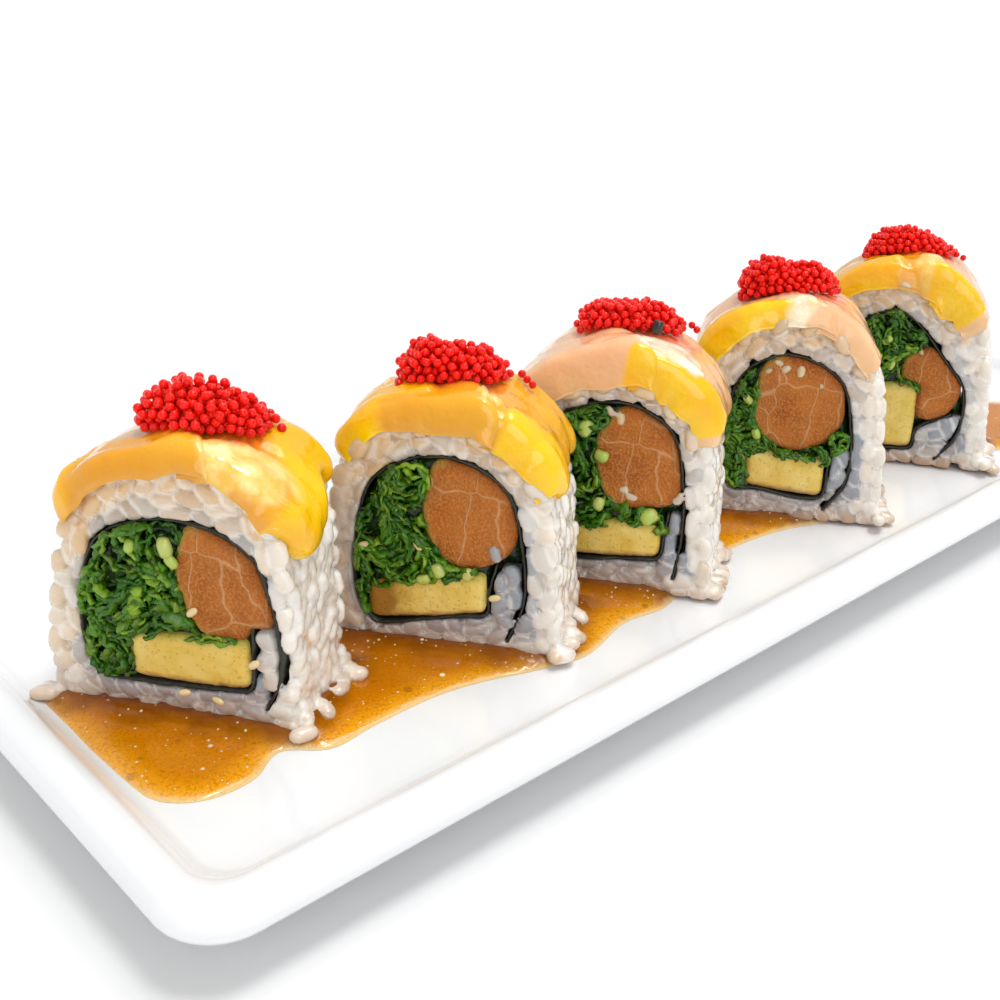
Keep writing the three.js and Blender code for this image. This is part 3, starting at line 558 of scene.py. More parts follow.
def archLine(roll, inset=0.0):
    # outside of the rice, from the left foot over the crown to the right foot
    half, top = rollValues["footHalfWidth"] - inset, roll["crown"] - inset
    shape = [(-1, 0), (-0.985, 0.2), (-0.96, 0.42), (-0.91, 0.62), (-0.79, 0.8), (-0.49, 0.945), (0, 1)]
    shape += [(-side, rise) for side, rise in shape[-2::-1]]
    points = [(half * side + roll["lean"] * (top * rise / roll["crown"]) ** 1.6
               - roll["bulge"] * (side < 0) * (1 - abs(rise - 0.25)) ** 4, top * rise)
              for side, rise in shape]
    return spaced(smoothLine(points), 0.5)


def onArch(line, share, offset):
    # points of the arch at these shares of its length, moved out by offset; and the outward direction
    at = lengthsAlong(line)
    places = np.clip(share, 0, 1) * at[-1]
    point, ahead, behind = (np.stack([np.interp(places + moved, at, line[:, k]) for k in (0, 1)], -1)
                            for moved in (0, 0.4, -0.4))
    tangent = ahead - behind
    tangent /= np.linalg.norm(tangent, axis=-1, keepdims=True)
    normal = np.stack([-tangent[..., 1], tangent[..., 0]], -1)
    return point + normal * np.asarray(offset)[..., None], normal


def spotOnArch(line, share, offset):
    # the same for one point
    point, normal = onArch(line, np.array([share]), np.array([offset]))
    return point[0], normal[0]


def noriLine(roll):
    # the rolled sheet from its inner end, under the omelette, up the left, over and down the right
    left, right, side, top, topU, slump = roll["ring"]
    eggLeft, eggRight, bottomLeft, bottomRight, _ = roll["omelette"]
    skirt = rollValues["noriThickness"] / 2 + 2 * gap
    shoulder = side + 0.76 * (top - side)
    low = min(bottomLeft, bottomRight + 1) - skirt
    tongueU, tongueZ = roll["tongue"]
    points = [
        (tongueU, tongueZ), (eggRight + skirt + 0.2, bottomRight + 0.5 * (tongueZ - bottomRight)),
        (eggRight + skirt - 0.6, bottomRight - skirt + 0.6), (eggRight - 3.4, bottomRight - skirt),
        (eggLeft + 1, bottomLeft - skirt), (left + 3, low + 0.4), (left + 0.6, low + 4), (left, side),
        (topU + 0.74 * (left - topU), shoulder), (topU, top),
        (topU + 0.76 * (right - topU), shoulder - slump), (right - 0.2, side + 4),
        (right, side - 7), roll["seam"],
    ]
    return spaced(smoothLine(points), 0.9)


def besideLine(line, offset):
    tangent = np.gradient(line, axis=0)
    tangent /= np.linalg.norm(tangent, axis=1, keepdims=True) + 1e-9
    return line + np.stack([-tangent[:, 1], tangent[:, 0]], 1) * offset


def partInside(inner, level):
    # the sheet's inner side, parted where it comes down past the level of its own inner end
    after = next(i for i in range(len(inner) // 2, len(inner)) if inner[i, 1] < level)
    a, b = inner[after - 1], inner[after]
    doorway = a + (b - a) * (a[1] - level) / (a[1] - b[1])
    return np.vstack([inner[:after], doorway]), np.vstack([doorway, inner[after:]])


def reachFrom(centre, angles, polygon):
    # distance from a centre to a polygon's side in each direction
    heading = np.stack([np.cos(angles), np.sin(angles)], 1)
    best = np.full(len(angles), 1e9)
    for a, b in zip(polygon, np.roll(polygon, -1, 0)):
        ab, ca = b - a, a - centre
        cross = heading[:, 0] * ab[1] - heading[:, 1] * ab[0]
        safe = np.where(np.abs(cross) < 1e-9, 1e-9, cross)
        t = (ca[0] * ab[1] - ca[1] * ab[0]) / safe
        s = (ca[0] * heading[:, 1] - ca[1] * heading[:, 0]) / safe
        best = np.where((t > 0) & (s >= 0) & (s <= 1), np.minimum(best, t), best)
    return best


def ringRound(centre, angles, reach, width):
    # a closed line round a centre, its distances evened out over some directions
    n = len(angles)
    reach = np.convolve(np.tile(reach, 3), np.ones(width) / width, "same")[n:2 * n]
    return centre + np.stack([np.cos(angles), np.sin(angles)], 1) * reach[:, None]


def outlinesOf(roll):
    line = noriLine(roll)
    reach = rollValues["noriThickness"] / 2 + gap
    inner, outer = besideLine(line, -reach), besideLine(line, reach)
    tongueZ = roll["tongue"][1]
    room = partInside(inner, tongueZ + gap)[0]
    hole = np.vstack([outer, partInside(inner, tongueZ - gap)[1][::-1]])
    left, right, bottomLeft, bottomRight, height = roll["omelette"]
    egg = np.array([(left, bottomLeft), (right - 0.8, bottomRight), (right, bottomRight + 0.8),
                    (right, bottomRight + height),
                    ((left + right) / 2, (bottomLeft + bottomRight) / 2 + height - 0.5),
                    (left, bottomLeft + height - 0.8)])
    angles = np.linspace(0, 2 * math.pi, rollValues["directions"], endpoint=False)
    middle = egg.mean(0)
    eggReach = np.minimum(reachFrom(middle, angles, egg) + 0.4, reachFrom(middle, angles, room) + 0.3)
    omelette = ringRound(middle, angles, eggReach, 3)
    u, z, width, tall = roll["salmon"]
    centre, power = np.array([u, z]), rollValues["salmonPower"]
    rounded = np.abs(np.cos(angles) / (width / 2)) ** power + np.abs(np.sin(angles) / (tall / 2)) ** power
    fishReach = rounded ** (-1 / power) * (1 + 0.03 * np.sin(angles * 5 + roll["seed"])) + 0.5
    fishReach = np.minimum(fishReach, reachFrom(centre, angles, room) + 0.3)
    fishReach = np.minimum(fishReach, reachFrom(centre, angles, omelette) - 0.15)
    return {"nori": line, "room": room, "hole": hole, "omelette": omelette,
            "salmon": ringRound(centre, angles, fishReach, 5), "arch": archLine(roll)}


fieldValues = {"step": 0.4, "u": (-30, 34), "z": (-3, 52)}


def makeFields(outlines):
    # how far inside each outline every place of the cut face is
    step, (lowU, highU), (lowZ, highZ) = (fieldValues[key] for key in ("step", "u", "z"))
    us, zs = np.arange(lowU, highU, step), np.arange(lowZ, highZ, step)
    grid = np.stack(np.meshgrid(us, zs, indexing="ij"), -1)
    fields = {name: insideBy(grid, outlines[name]) for name in ("room", "hole", "omelette", "salmon", "arch")}

    def at(name, points):
        i = np.clip((points[..., 0] - us[0]) / step, 0, len(us) - 1.001)
        j = np.clip((points[..., 1] - zs[0]) / step, 0, len(zs) - 1.001)
        i0, j0 = i.astype(int), j.astype(int)
        fi, fj = i - i0, j - j0
        f = fields[name]
        return ((f[i0, j0] * (1 - fi) + f[i0 + 1, j0] * fi) * (1 - fj)
                + (f[i0, j0 + 1] * (1 - fi) + f[i0 + 1, j0 + 1] * fi) * fj)
    return at


def fillOutline(outline, step):
    # triangles over an outline, with points inside it; the outline's own points come first
    edge = spaced(outline, step, closed=True)
    edges = [(i, (i + 1) % len(edge)) for i in range(len(edge))]
    low, high = edge.min(0), edge.max(0)
    columns, rows = np.arange(low[0], high[0], step), np.arange(low[1], high[1], step * 0.87)
    grid = np.stack(np.meshgrid(columns, rows), -1)
    grid[1::2, :, 0] += step / 2
    inner = grid.reshape(-1, 2)
    points = np.vstack([edge, inner[insideBy(inner, edge) > step * 0.55]])
    verts, _, faces, *_ = delaunay_2d_cdt([Vector(p) for p in points], edges, [], 1, 1e-5)
    verts, faces = np.array([tuple(v) for v in verts]), np.array([tuple(f) for f in faces])
    faces = faces[insidePolygon(verts[faces].mean(1), edge)]
    a, b, c = (verts[faces[:, k]] for k in range(3))
    turned = (b[:, 0] - a[:, 0]) * (c[:, 1] - a[:, 1]) - (b[:, 1] - a[:, 1]) * (c[:, 0] - a[:, 0]) < 0
    faces[turned] = faces[turned][:, ::-1]
    return verts, faces


def slab(roll, outline, inset, step, roundness, relief):
    # a solid between the two cut faces, its edges rounded and its faces uneven
    flat, faces = fillOutline(outline, step)
    edge = np.clip(1 - np.clip(insideBy(flat, outline), 0, roundness) / roundness, 0, 1)
    drop = roundness * (1 - np.sqrt(1 - edge**2))
    u, z = flat.T
    front = np.stack([u, inset + drop + relief(u, z, 1), z], 1)
    back = np.stack([u, roll["thickness"] - inset - drop - relief(u, z, 2), z], 1)
    points, faces = betweenSheets(front, back, faces)
    return points, faces, dict(zip(("across", "lengthwise", "rise"), points.T))


def tube(line, radius, sides, flatness, twist):
    # a closed tube along a line, with a radius at each of its points
    n = len(line)
    tangent = np.gradient(line, axis=0)
    tangent /= np.linalg.norm(tangent, axis=1, keepdims=True)
    side = np.cross(tangent[0], (0.3, 0.1, 0.95))
    rings = []
    for i in range(n):
        side = side - tangent[i] * (side @ tangent[i])
        side /= np.linalg.norm(side)
        angles = np.linspace(0, 2 * math.pi, sides, endpoint=False) + twist * i
        ca, sa = np.cos(angles), np.sin(angles) * flatness
        rings.append(line[i] + radius[i] * (ca[:, None] * side + sa[:, None] * np.cross(tangent[i], side)))
    return np.vstack(rings), loftFaces(n, sides)


def blobForm(rng, around, rings, blunt, bend, dents):
    # a rounded form along x, one unit long and one wide, slightly bent and dented
    t = np.linspace(0, math.pi, rings + 1)[1:-1]
    phi = np.linspace(0, 2 * math.pi, around, endpoint=False)
    tt, pp = np.meshgrid(t, phi, indexing="ij")
    x = -0.5 * np.cos(tt)
    a, b, c = rng.uniform(0, 2 * math.pi, 3)
    r = 0.5 * np.sin(tt) ** blunt * (1 + dents * np.sin(2 * pp + a) + dents * np.sin(pp + 5 * x + b))
    y, z = r * np.cos(pp), r * np.sin(pp) + bend * (0.25 - x**2) * math.cos(c)
    points = np.vstack([np.stack([x, y, z], -1).reshape(-1, 3), [(-0.5, 0, 0), (0.5, 0, 0)]])
    last = (rings - 2) * around
    start = last + around
    faces = gridFaces(rings - 1, around, flip=True)
    for j in range(around):
        k = (j + 1) % around
        faces += [[start, j, k], [start + 1, last + k, last + j]]
    return points, faces


def setForm(form, centre, heading, up, size):
    # a copy of a form: heading is its long axis, up the side of it that looks out
    points, faces = form
    heading = heading / np.linalg.norm(heading)
    side = np.cross(up, heading)
    side /= np.linalg.norm(side)
    x, y, z = (points * size).T[:, :, None]
    return centre + x * heading + y * side + z * np.cross(heading, side), faces


riceValues = {"length": 5.0, "width": 3.0, "spacing": 2.25, "share": 1.34, "disorder": 0.45, "loose": 9,
              "rounds": 120, "tries": 2200, "faceDepth": 1.2, "flankInset": 1.25, "fromFace": 2.3,
              "small": (5.0, 2.9, 2.5), "stuck": (5.0, 2.9, 2.0)}


def pourRods(low, high, room, pushIn, angleAt, rng):
    # rods poured over a space and settled until they lie close together without voids
    v = riceValues
    tries = rng.uniform(low, high, (v["tries"], 2))
    tries = tries[room(tries) > 0.7]
    area = np.prod(np.subtract(high, low)) * len(tries) / v["tries"]
    wanted = int(area * v["share"] / (v["spacing"] * (v["length"] - 2.5) + 0.8 * v["spacing"] ** 2))
    picked = np.zeros((0, 2))
    for apart in (4.0, 3.4, 2.8, 2.2, 1.6, 1.1):
        for spot in tries:
            if len(picked) >= wanted:
                break
            if not len(picked) or np.min(np.linalg.norm(picked - spot, axis=1)) > apart:
                picked = np.vstack([picked, spot])
    places, angles = picked, angleAt(picked) + rng.normal(0, v["disorder"], len(picked))
    lengths = np.clip(rng.normal(v["length"], 0.8, len(places)), 3.7, 6.8)
    reach = lengths / 2 - 1.25
    offsets = np.stack([-reach, 0 * reach, reach], 1)
    owner = np.repeat(np.arange(len(places)), 3)
    others = owner[:, None] != owner[None]
    for _ in range(v["rounds"]):
        heading = np.stack([np.cos(angles), np.sin(angles)], 1)
        discs = (places[:, None] + offsets[..., None] * heading[:, None]).reshape(-1, 2)
        apart = discs[:, None] - discs[None]
        distance = np.linalg.norm(apart, axis=-1) + 1e-6
        push = np.where(others, np.clip(v["spacing"] - distance, 0, None), 0) / distance * 0.5
        force = ((apart * push[..., None]).sum(1) + pushIn(discs)).reshape(-1, 3, 2)
        places = places + force.sum(1) * 0.35
        sideways = force[..., 1] * heading[:, None, 0] - force[..., 0] * heading[:, None, 1]
        angles = angles + np.clip((sideways * offsets).sum(1) / (2 * reach**2 + 0.8) * 0.35, -0.2, 0.2)
    return zip(places, angles, lengths)


def slopeOf(field, points, step=0.4):
    u, z = np.array((step, 0)), np.array((0, step))
    slope = np.stack([field(points + u) - field(points - u), field(points + z) - field(points - z)], 1)
    return slope / (np.linalg.norm(slope, axis=1, keepdims=True) + 1e-6)


def outFrom(side):
    # the direction in which the front (0) or the back cut face looks
    return np.array([0, 1.0 if side else -1.0, 0])


# Each grain is its centre, the direction of its length, the direction that it looks to, and its size.
def faceGrains(roll, at, rng, back):
    # grains that lie in a cut face
    v = riceValues

    def arch(points):
        return at("arch", points)

    def outside(points):
        return -at("hole", points)

    def pushIn(points):
        force = np.zeros(points.shape)
        for field, need in ((arch, 1.2), (outside, 0.35)):
            force += slopeOf(field, points) * np.clip(need - field(points), 0, 1.5)[:, None]
        return force

    def angleAt(points):
        slope = slopeOf(arch, points)
        return np.arctan2(slope[:, 1], slope[:, 0]) + math.pi / 2

    grains = []
    poured = pourRods((-24, 0.5), (28, roll["crown"]),
                      lambda points: np.minimum(arch(points), outside(points)), pushIn, angleAt, rng)
    for (u, z), angle, length in poured:
        heading = np.array([math.cos(angle), rng.normal(0, 0.2), math.sin(angle)])
        deep = v["faceDepth"] + rng.uniform(-0.35, 0.5)
        centre = np.array([u, roll["thickness"] - deep if back else deep, z])
        size = np.array([length, v["width"] * rng.uniform(0.9, 1.12), v["width"] * rng.uniform(0.8, 1.0)])
        grains.append((centre, heading, outFrom(back), size))
    return grains


def flankGrains(roll, line, rng):
    # grains over both flanks, as far as just under the slices' edges
    v = riceValues
    grains = []
    total = lengthsAlong(line)[-1]
    leftEnd, rightEnd, *_ = roll["slices"]
    nearest, deepest = v["fromFace"], roll["thickness"] - v["fromFace"]
    for low, high in ((0.4, (leftEnd + 0.06) * total), ((rightEnd - 0.06) * total, total - 0.4)):
        def inside(points):
            return np.minimum(np.minimum(points[:, 0] - low, high - points[:, 0]),
                              np.minimum(points[:, 1] - nearest, deepest - points[:, 1]))

        def pushIn(points):
            s, depth = points.T
            return np.stack([np.clip(1.3 - (s - low), 0, 1.5) - np.clip(1.3 - (high - s), 0, 1.5),
                             np.clip(3.6 - depth, 0, 1.5) - np.clip(depth - deepest + 1.3, 0, 1.5)], 1)

        for (s, depth), angle, length in pourRods((low, nearest), (high, deepest), inside, pushIn,
                                                  lambda points: rng.normal(0.15, 0.6, len(points)), rng):
            (u, z), (outU, outZ) = spotOnArch(line, s / total, rng.uniform(-0.45, 0.45) - v["flankInset"])
            heading = np.array([outZ * math.cos(angle), math.sin(angle), -outU * math.cos(angle)])
            wide, tall = v["width"] * rng.uniform(0.92, 1.08), v["width"] * rng.uniform(0.85, 1.0)
            grains.append((np.array([u, depth, max(z, 1.3)]), heading, np.array([outU, 0, outZ]),
                           np.array([length, wide, tall])))
    return grains


def otherGrains(roll, line, rng):
    grains = []
    for side in (-1, 1):
        for _ in range(riceValues["loose"]):  # grains that have spread from the feet on to the plate
            out = rng.uniform(20.8, 23.6)
            centre = np.array([side * out, rng.uniform(-1.0, roll["thickness"]), 1.2 + max(0, 22.4 - out)])
            angle = rng.uniform(0, math.pi)
            heading = np.array([math.cos(angle), math.sin(angle), rng.normal(0, 0.15)])
            size = np.array(riceValues["small"]) * rng.uniform(0.85, 1.1)
            grains.append((centre, heading, np.array([0, 0, 1.0]), size))
    leftEnd, rightEnd, *_ = roll["slices"]
    for share in np.linspace(leftEnd + 0.03, rightEnd - 0.02, roll["stuck"]):  # over the slices' front edge
        share = share + rng.uniform(-0.015, 0.015)
        (u, z), (outU, outZ) = spotOnArch(line, share, rng.uniform(-1.3, -0.7) - droopOf(roll, share))
        angle = math.atan2(-outU, outZ) + rng.normal(0, 0.4)
        heading = np.array([math.cos(angle), rng.normal(0, 0.1), math.sin(angle)])
        centre = np.array([u, rng.uniform(-0.5, -0.1), z])
        grains.append((centre, heading, outFrom(0), np.array(riceValues["stuck"]) * rng.uniform(0.85, 1.08)))
    for u, z, length in roll["crumbs"]:  # rice smeared over the fillings
        angle = rng.uniform(0, math.pi)
        heading = np.array([math.cos(angle), 0.1, math.sin(angle)])
        grains.append((np.array([u, 0.05, z]), heading, outFrom(0), length * np.array([1, 0.66, 0.5])))
    return grains


skinValues = {"step": (0.45, 0.6, 0.45), "blend": 0.09, "core": 1.35, "flat": 0.7, "overlap": (0.1, 0.5),
              "inBlock": 20.7, "squash": 0.4, "far": 3.0, "outside": 0.3, "reach": 0.9}


def grainSkin(grains, roll, at):
    # one skin over all grains and the rice behind them, and the two nearest grains of each of its points
    v = skinValues
    thickness = roll["thickness"]
    ends = (-29.5, 31.5), (-3.9, thickness + 3.2), (0.1, roll["crown"] + 3)
    axes = [np.arange(low, high, step) for (low, high), step in zip(ends, v["step"])]
    shape = tuple(len(axis) for axis in axes)
    nearest, second = np.full(shape, v["far"]), np.full(shape, v["far"])
    owner, other = np.zeros(shape, int), np.zeros(shape, int)
    fill = np.full(shape, math.exp(-1.0 / v["blend"]))
    for index, (centre, heading, up, size) in enumerate(grains):
        turned = np.array([heading, np.cross(up, heading), up], float)
        turned[0] /= np.linalg.norm(turned[0])
        turned[1] /= np.linalg.norm(turned[1])
        turned[2] = np.cross(turned[0], turned[1])
        reach = size[0] / 2 + v["reach"]
        spans = tuple(slice(*np.searchsorted(axis, (c - reach, c + reach))) for axis, c in zip(axes, centre))
        x, y, z = (axis[span] for axis, span in zip(axes, spans))
        if abs(centre[0]) < v["inBlock"] and centre[1] > 0.02:  # cut flat by the faces, but for a little
            past = np.where(y > thickness, thickness + (y - thickness) / v["squash"], y)
            y = np.where(y < 0, y / v["squash"], past)
        away = [(x - centre[0])[:, None, None], (y - centre[1])[None, :, None], (z - centre[2])[None, None]]
        along, across, out = (row[0] * away[0] + row[1] * away[1] + row[2] * away[2] for row in turned)
        half = size / 2
        flat = min(v["flat"], half[0] * 0.3)
        across = across + 0.05 * math.sin(index * 2.4) * (along**2 - 1.5)
        a = np.maximum(np.abs(along) - flat, 0) / (half[0] - flat)
        b, c = across / half[1], out / half[2]
        share = np.sqrt(a**2 + b**2 + c**2) + 1e-3
        steep = np.sqrt((a / (half[0] - flat)) ** 2 + (b / half[1]) ** 2 + (c / half[2]) ** 2) + 1e-3 / 1.5
        distance = share * (share - 1) / steep
        fill[spans] += np.exp(-distance / v["blend"])
        closer = distance < nearest[spans]
        behind = ~closer & (distance < second[spans])
        second[spans] = np.where(closer, nearest[spans], np.where(behind, distance, second[spans]))
        other[spans] = np.where(closer, owner[spans], np.where(behind, index, other[spans]))
        nearest[spans] = np.where(closer, distance, nearest[spans])
        owner[spans] = np.where(closer, index, owner[spans])
    flatPoints = np.stack(np.meshgrid(axes[0], axes[2], indexing="ij"), -1)
    section = np.maximum(v["core"] - at("arch", flatPoints), at("hole", flatPoints) + 0.3)
    fromFaces = np.maximum(v["core"] - axes[1], axes[1] - thickness + v["core"])
    core = np.maximum(section[:, None, :], fromFaces[None, :, None])
    field = -v["blend"] * np.log(fill + np.exp(-np.clip(core, -1.0, 3) / v["blend"]))
    # the sheet stays clear of rice, which laps a little over its edge; the crumbs on the fillings are kept
    least, most = v["overlap"]
    sheet = at("hole", flatPoints)[:, None, :] - least - (most - least) * (owner * 0.618 % 1)
    field = np.maximum(field, np.where(owner >= len(grains) - len(roll["crumbs"]), -1, sheet))
    for side in (0, -1):
        field[side], field[:, side], field[:, :, side] = [v["outside"]] * 3
    points, faces, cells = surfaceNet(field)
    low, step = np.array([axis[0] for axis in axes]), np.array(v["step"])
    i, j, k = cells.T
    return low + points * step, faces, (owner[i, j, k], other[i, j, k], second[i, j, k] - nearest[i, j, k])


def surfaceNet(field):
    # the zero surface of a field on a grid: one point per mixed cell, one quad per crossed edge
    cells = np.array(field.shape) - 1
    ids, spots, quads = [], [], []
    for axis in range(3):
        low, high = np.moveaxis(field, axis, 0)[:-1], np.moveaxis(field, axis, 0)[1:]
        edges = np.argwhere((low < 0) != (high < 0)).T
        start, end = low[tuple(edges)], high[tuple(edges)]
        edges = np.insert(edges[1:], axis, edges[0], axis=0).T
        spot = edges.astype(float)
        spot[:, axis] += start / (start - end)
        p, q = (np.eye(3, dtype=int)[(axis + k) % 3] for k in (1, 2))
        around = [np.ravel_multi_index((edges - shift).T, cells) for shift in (p + q, q, 0 * p, p)]
        ids += around
        spots += [spot] * 4
        quad = np.stack(around, 1)
        quads.append(np.where((start < 0)[:, None], quad, quad[:, ::-1]))
    used, place = np.unique(np.concatenate(ids), return_inverse=True)
    count, spots = np.bincount(place), np.concatenate(spots)
    points = np.stack([np.bincount(place, spots[:, axis]) / count for axis in range(3)], 1)
    faces = np.searchsorted(used, np.concatenate(quads))
    return points, faces.tolist(), np.stack(np.unravel_index(used, cells), 1)


def grainLook(centre, roll, at, rng):
    # colours of one grain: blue beside the sheet, in the bay at the right and low in the middle, partly the
    # sheet seen through the rice and partly painted shade; beige under the slices and on the left
    right, low = centre[0], centre[2]
    bay = at("arch", centre[None, [0, 2]])[0]
    fromNori = -at("hole", centre[None, [0, 2]])[0]
    inner = smoothStep(2.4, 1.0, fromNori) * smoothStep(3.0, 5.5, bay) * (fromNori > 0)
    under = smoothStep(8.5, 5.0, low) * smoothStep(17.5, 14, abs(right))
    rightBay = smoothStep(7, 10, right) * smoothStep(24, 17, low) * smoothStep(4.0, 6.0, bay)
    blue = 0.5 * inner + 0.95 * rightBay + 0.75 * under + rng.normal(0, 0.1)
    beige = smoothStep(0.5, 0.9, low / roll["crown"]) * 0.9 + 0.4 * smoothStep(0, -12, right)
    beige = beige * (1 - 0.9 * smoothStep(3.2, 1.6, bay) * smoothStep(9, 15, right)) + 0.9 * (fromNori < 0)
    return rng.uniform(0, 1), blue, beige + rng.normal(0, 0.15), 0.2 * under


def buildRice(name, node, roll, outlines, at):
    rng = np.random.default_rng(roll["seed"])
    line = outlines["arch"]
    grains = faceGrains(roll, at, rng, False) + faceGrains(roll, at, rng, True) + flankGrains(roll, line, rng)
    grains += otherGrains(roll, line, rng)
    points, faces, (owner, other, between) = grainSkin(grains, roll, at)
    looks = np.array([grainLook(grain[0], roll, at, rng) for grain in grains])
    mixed = (0.5 * smoothStep(0.35, 0.0, between))[:, None]
    tint, blue, beige, under = np.clip(looks[owner] * (1 - mixed) + looks[other] * mixed, 0, 1).T
    nearSkin = np.min([np.abs(points[:, 1]), np.abs(points[:, 1] - roll["thickness"]),
                       np.abs(at("arch", points[:, [0, 2]]))], 0)
    # rim: a painted highlight along the grains' outlines
    values = {"tint": tint, "blue": blue, "beige": beige, "rim": smoothStep(0.55, 0.12, between),
              "brown": smoothStep(4.6, 0.4, points[:, 2]) * 0.55 + under,
              # deep: painted shade where the skin lies far inside the rice
              "deep": smoothStep(1.4, 3.2, nearSkin)}
    makePiece(name, (points, faces, values), riceFinish, "rice", [node], roll)


noriValues = {"thickness": 0.36, "recess": 0.5, "rows": 8, "step": 0.6}


def buildNori(name, node, roll, outlines):
    v = noriValues
    seed = roll["seed"]
    rng = np.random.default_rng(seed + 3)
    line = spaced(outlines["nori"], v["step"])
    n, s = len(line), lengthsAlong(line)
    front, back = (v["recess"] + 0.3 * wobble(s, 0 * s, seed + side, 0.9) for side in (1, 2))
    points = []
    for side in (-1, 1):
        for row in range(v["rows"] + 1):
            depth = front + (roll["thickness"] - back - front) * row / v["rows"]
            moved = besideLine(line, side * v["thickness"] / 2) + rng.normal(0, 0.01, (n, 2))
            moved = moved + (besideLine(line, 1) - line) * (0.1 * wobble(s, depth, seed + 4, 1.1))[:, None]
            points.append(np.stack([moved[:, 0], depth, moved[:, 1]], 1))
    rows = v["rows"] + 1
    part = np.vstack(points[rows:] + points[:rows]), shellFaces(rows, n), {}
    makePiece(name, part, noriFinish, "nori", [node], roll)


fillingValues = {"omeletteStep": 0.8, "salmonStep": 0.6, "strands": 200, "strandsBehind": 130, "backing": 1.5,
                 "leaves": 0.55, "tries": 4000, "seedTries": 2000}


def relief(roll, order, size, scale, fineSize, fineScale):
    # unevenness of a filling's cut faces, slow and fine
    def height(u, z, side):
        seed = roll["seed"] + order + side
        return size * wobble(u, z, seed, scale) + fineSize * wobble(u, z, seed + 10, fineScale)
    return height


def buildOmelette(name, node, roll, outlines):
    points, faces, values = slab(roll, outlines["omelette"], 0.4, fillingValues["omeletteStep"], 0.5,
                                 relief(roll, 20, 0.16, 1.5, 0.1, 3.5))
    left, right, bottomLeft, bottomRight, height = roll["omelette"]
    u, _, z = points.T
    above = z - (bottomLeft + (bottomRight - bottomLeft) * (u - left) / (right - left))
    uneven = 0.35 * wobble(u, z, roll["seed"] + 8, 1.2)
    values["skin"] = smoothStep(0.9, 0.2, above + uneven) * 0.85
    values["green"] = smoothStep(height - 2.2, height + 0.2, above + 1.4 * uneven) * 0.7
    values["stain"] = roll["stain"] * smoothStep(left + 8, left + 3, u + 4 * uneven)
    makePiece(name, (points, faces, values), omeletteFinish, "omelette", [node], roll)


def buildSalmon(name, node, roll, outlines):
    points, faces, values = slab(roll, outlines["salmon"], 0.1, fillingValues["salmonStep"], 0.7,
                                 relief(roll, 40, 0.25, 0.5, 0.08, 2.2))
    u, _, z = points.T
    inside = insideBy(points[:, [0, 2]], outlines["salmon"]) + 0.4 * wobble(u, z, roll["seed"], 1)
    leftSide = smoothStep(-2, -5, u - roll["salmon"][0])
    values["left"] = 0.75 * smoothStep(1.5, 0.3, inside) * leftSide
    values["edge"] = 0.5 * smoothStep(2.0, 0.2, inside) * (1 - leftSide)
    makePiece(name, (points, faces, values), salmonFinish, "salmon", [node], roll)


def saladRoomOf(roll, at):
    left, right, bottomLeft, bottomRight, height = roll["omelette"]

    def room(points):
        u, z = points[..., 0], points[..., 1]
        base = bottomLeft + (bottomRight - bottomLeft) * (u - left) / (right - left)
        space = np.minimum(at("room", points) + 0.5, np.minimum(0.6 - at("salmon", points),
                                                                1.1 - at("omelette", points)))
        narrow = at("room", points) - at("salmon", points) < 2.2
        return np.where((u > left) & (z < base + height - 2.0) | narrow & (u > left), -1.0, space)
    return room


def strandLine(room, rng, start, combed, length):
    # a strand that follows the combed direction and stays between the fillings
    line = [start]
    turn = 0.0
    sway = rng.normal(0, 0.3)
    flip = rng.choice([0, math.pi])
    for _ in range(int(length / 0.7)):
        here = line[-1]
        angle = combed(here[0], here[1]) + flip + sway + turn + rng.normal(0, 0.22)
        for swerve in (0, 0.7, -0.7, 1.4, -1.4, 2.1, -2.1):
            ahead = here + 0.7 * np.array([math.cos(angle + swerve), math.sin(angle + swerve)])
            if room(ahead[None])[0] > 0.3:
                line.append(ahead)
                turn += 0.6 * swerve
                break
        else:
            break
    return np.array(line) if len(line) > 3 else None


def triesIn(room, rng, count, least):
    tries = np.stack([rng.uniform(-19, 20, count), rng.uniform(2, 42, count)], 1)
    return tries[room(tries) > least]


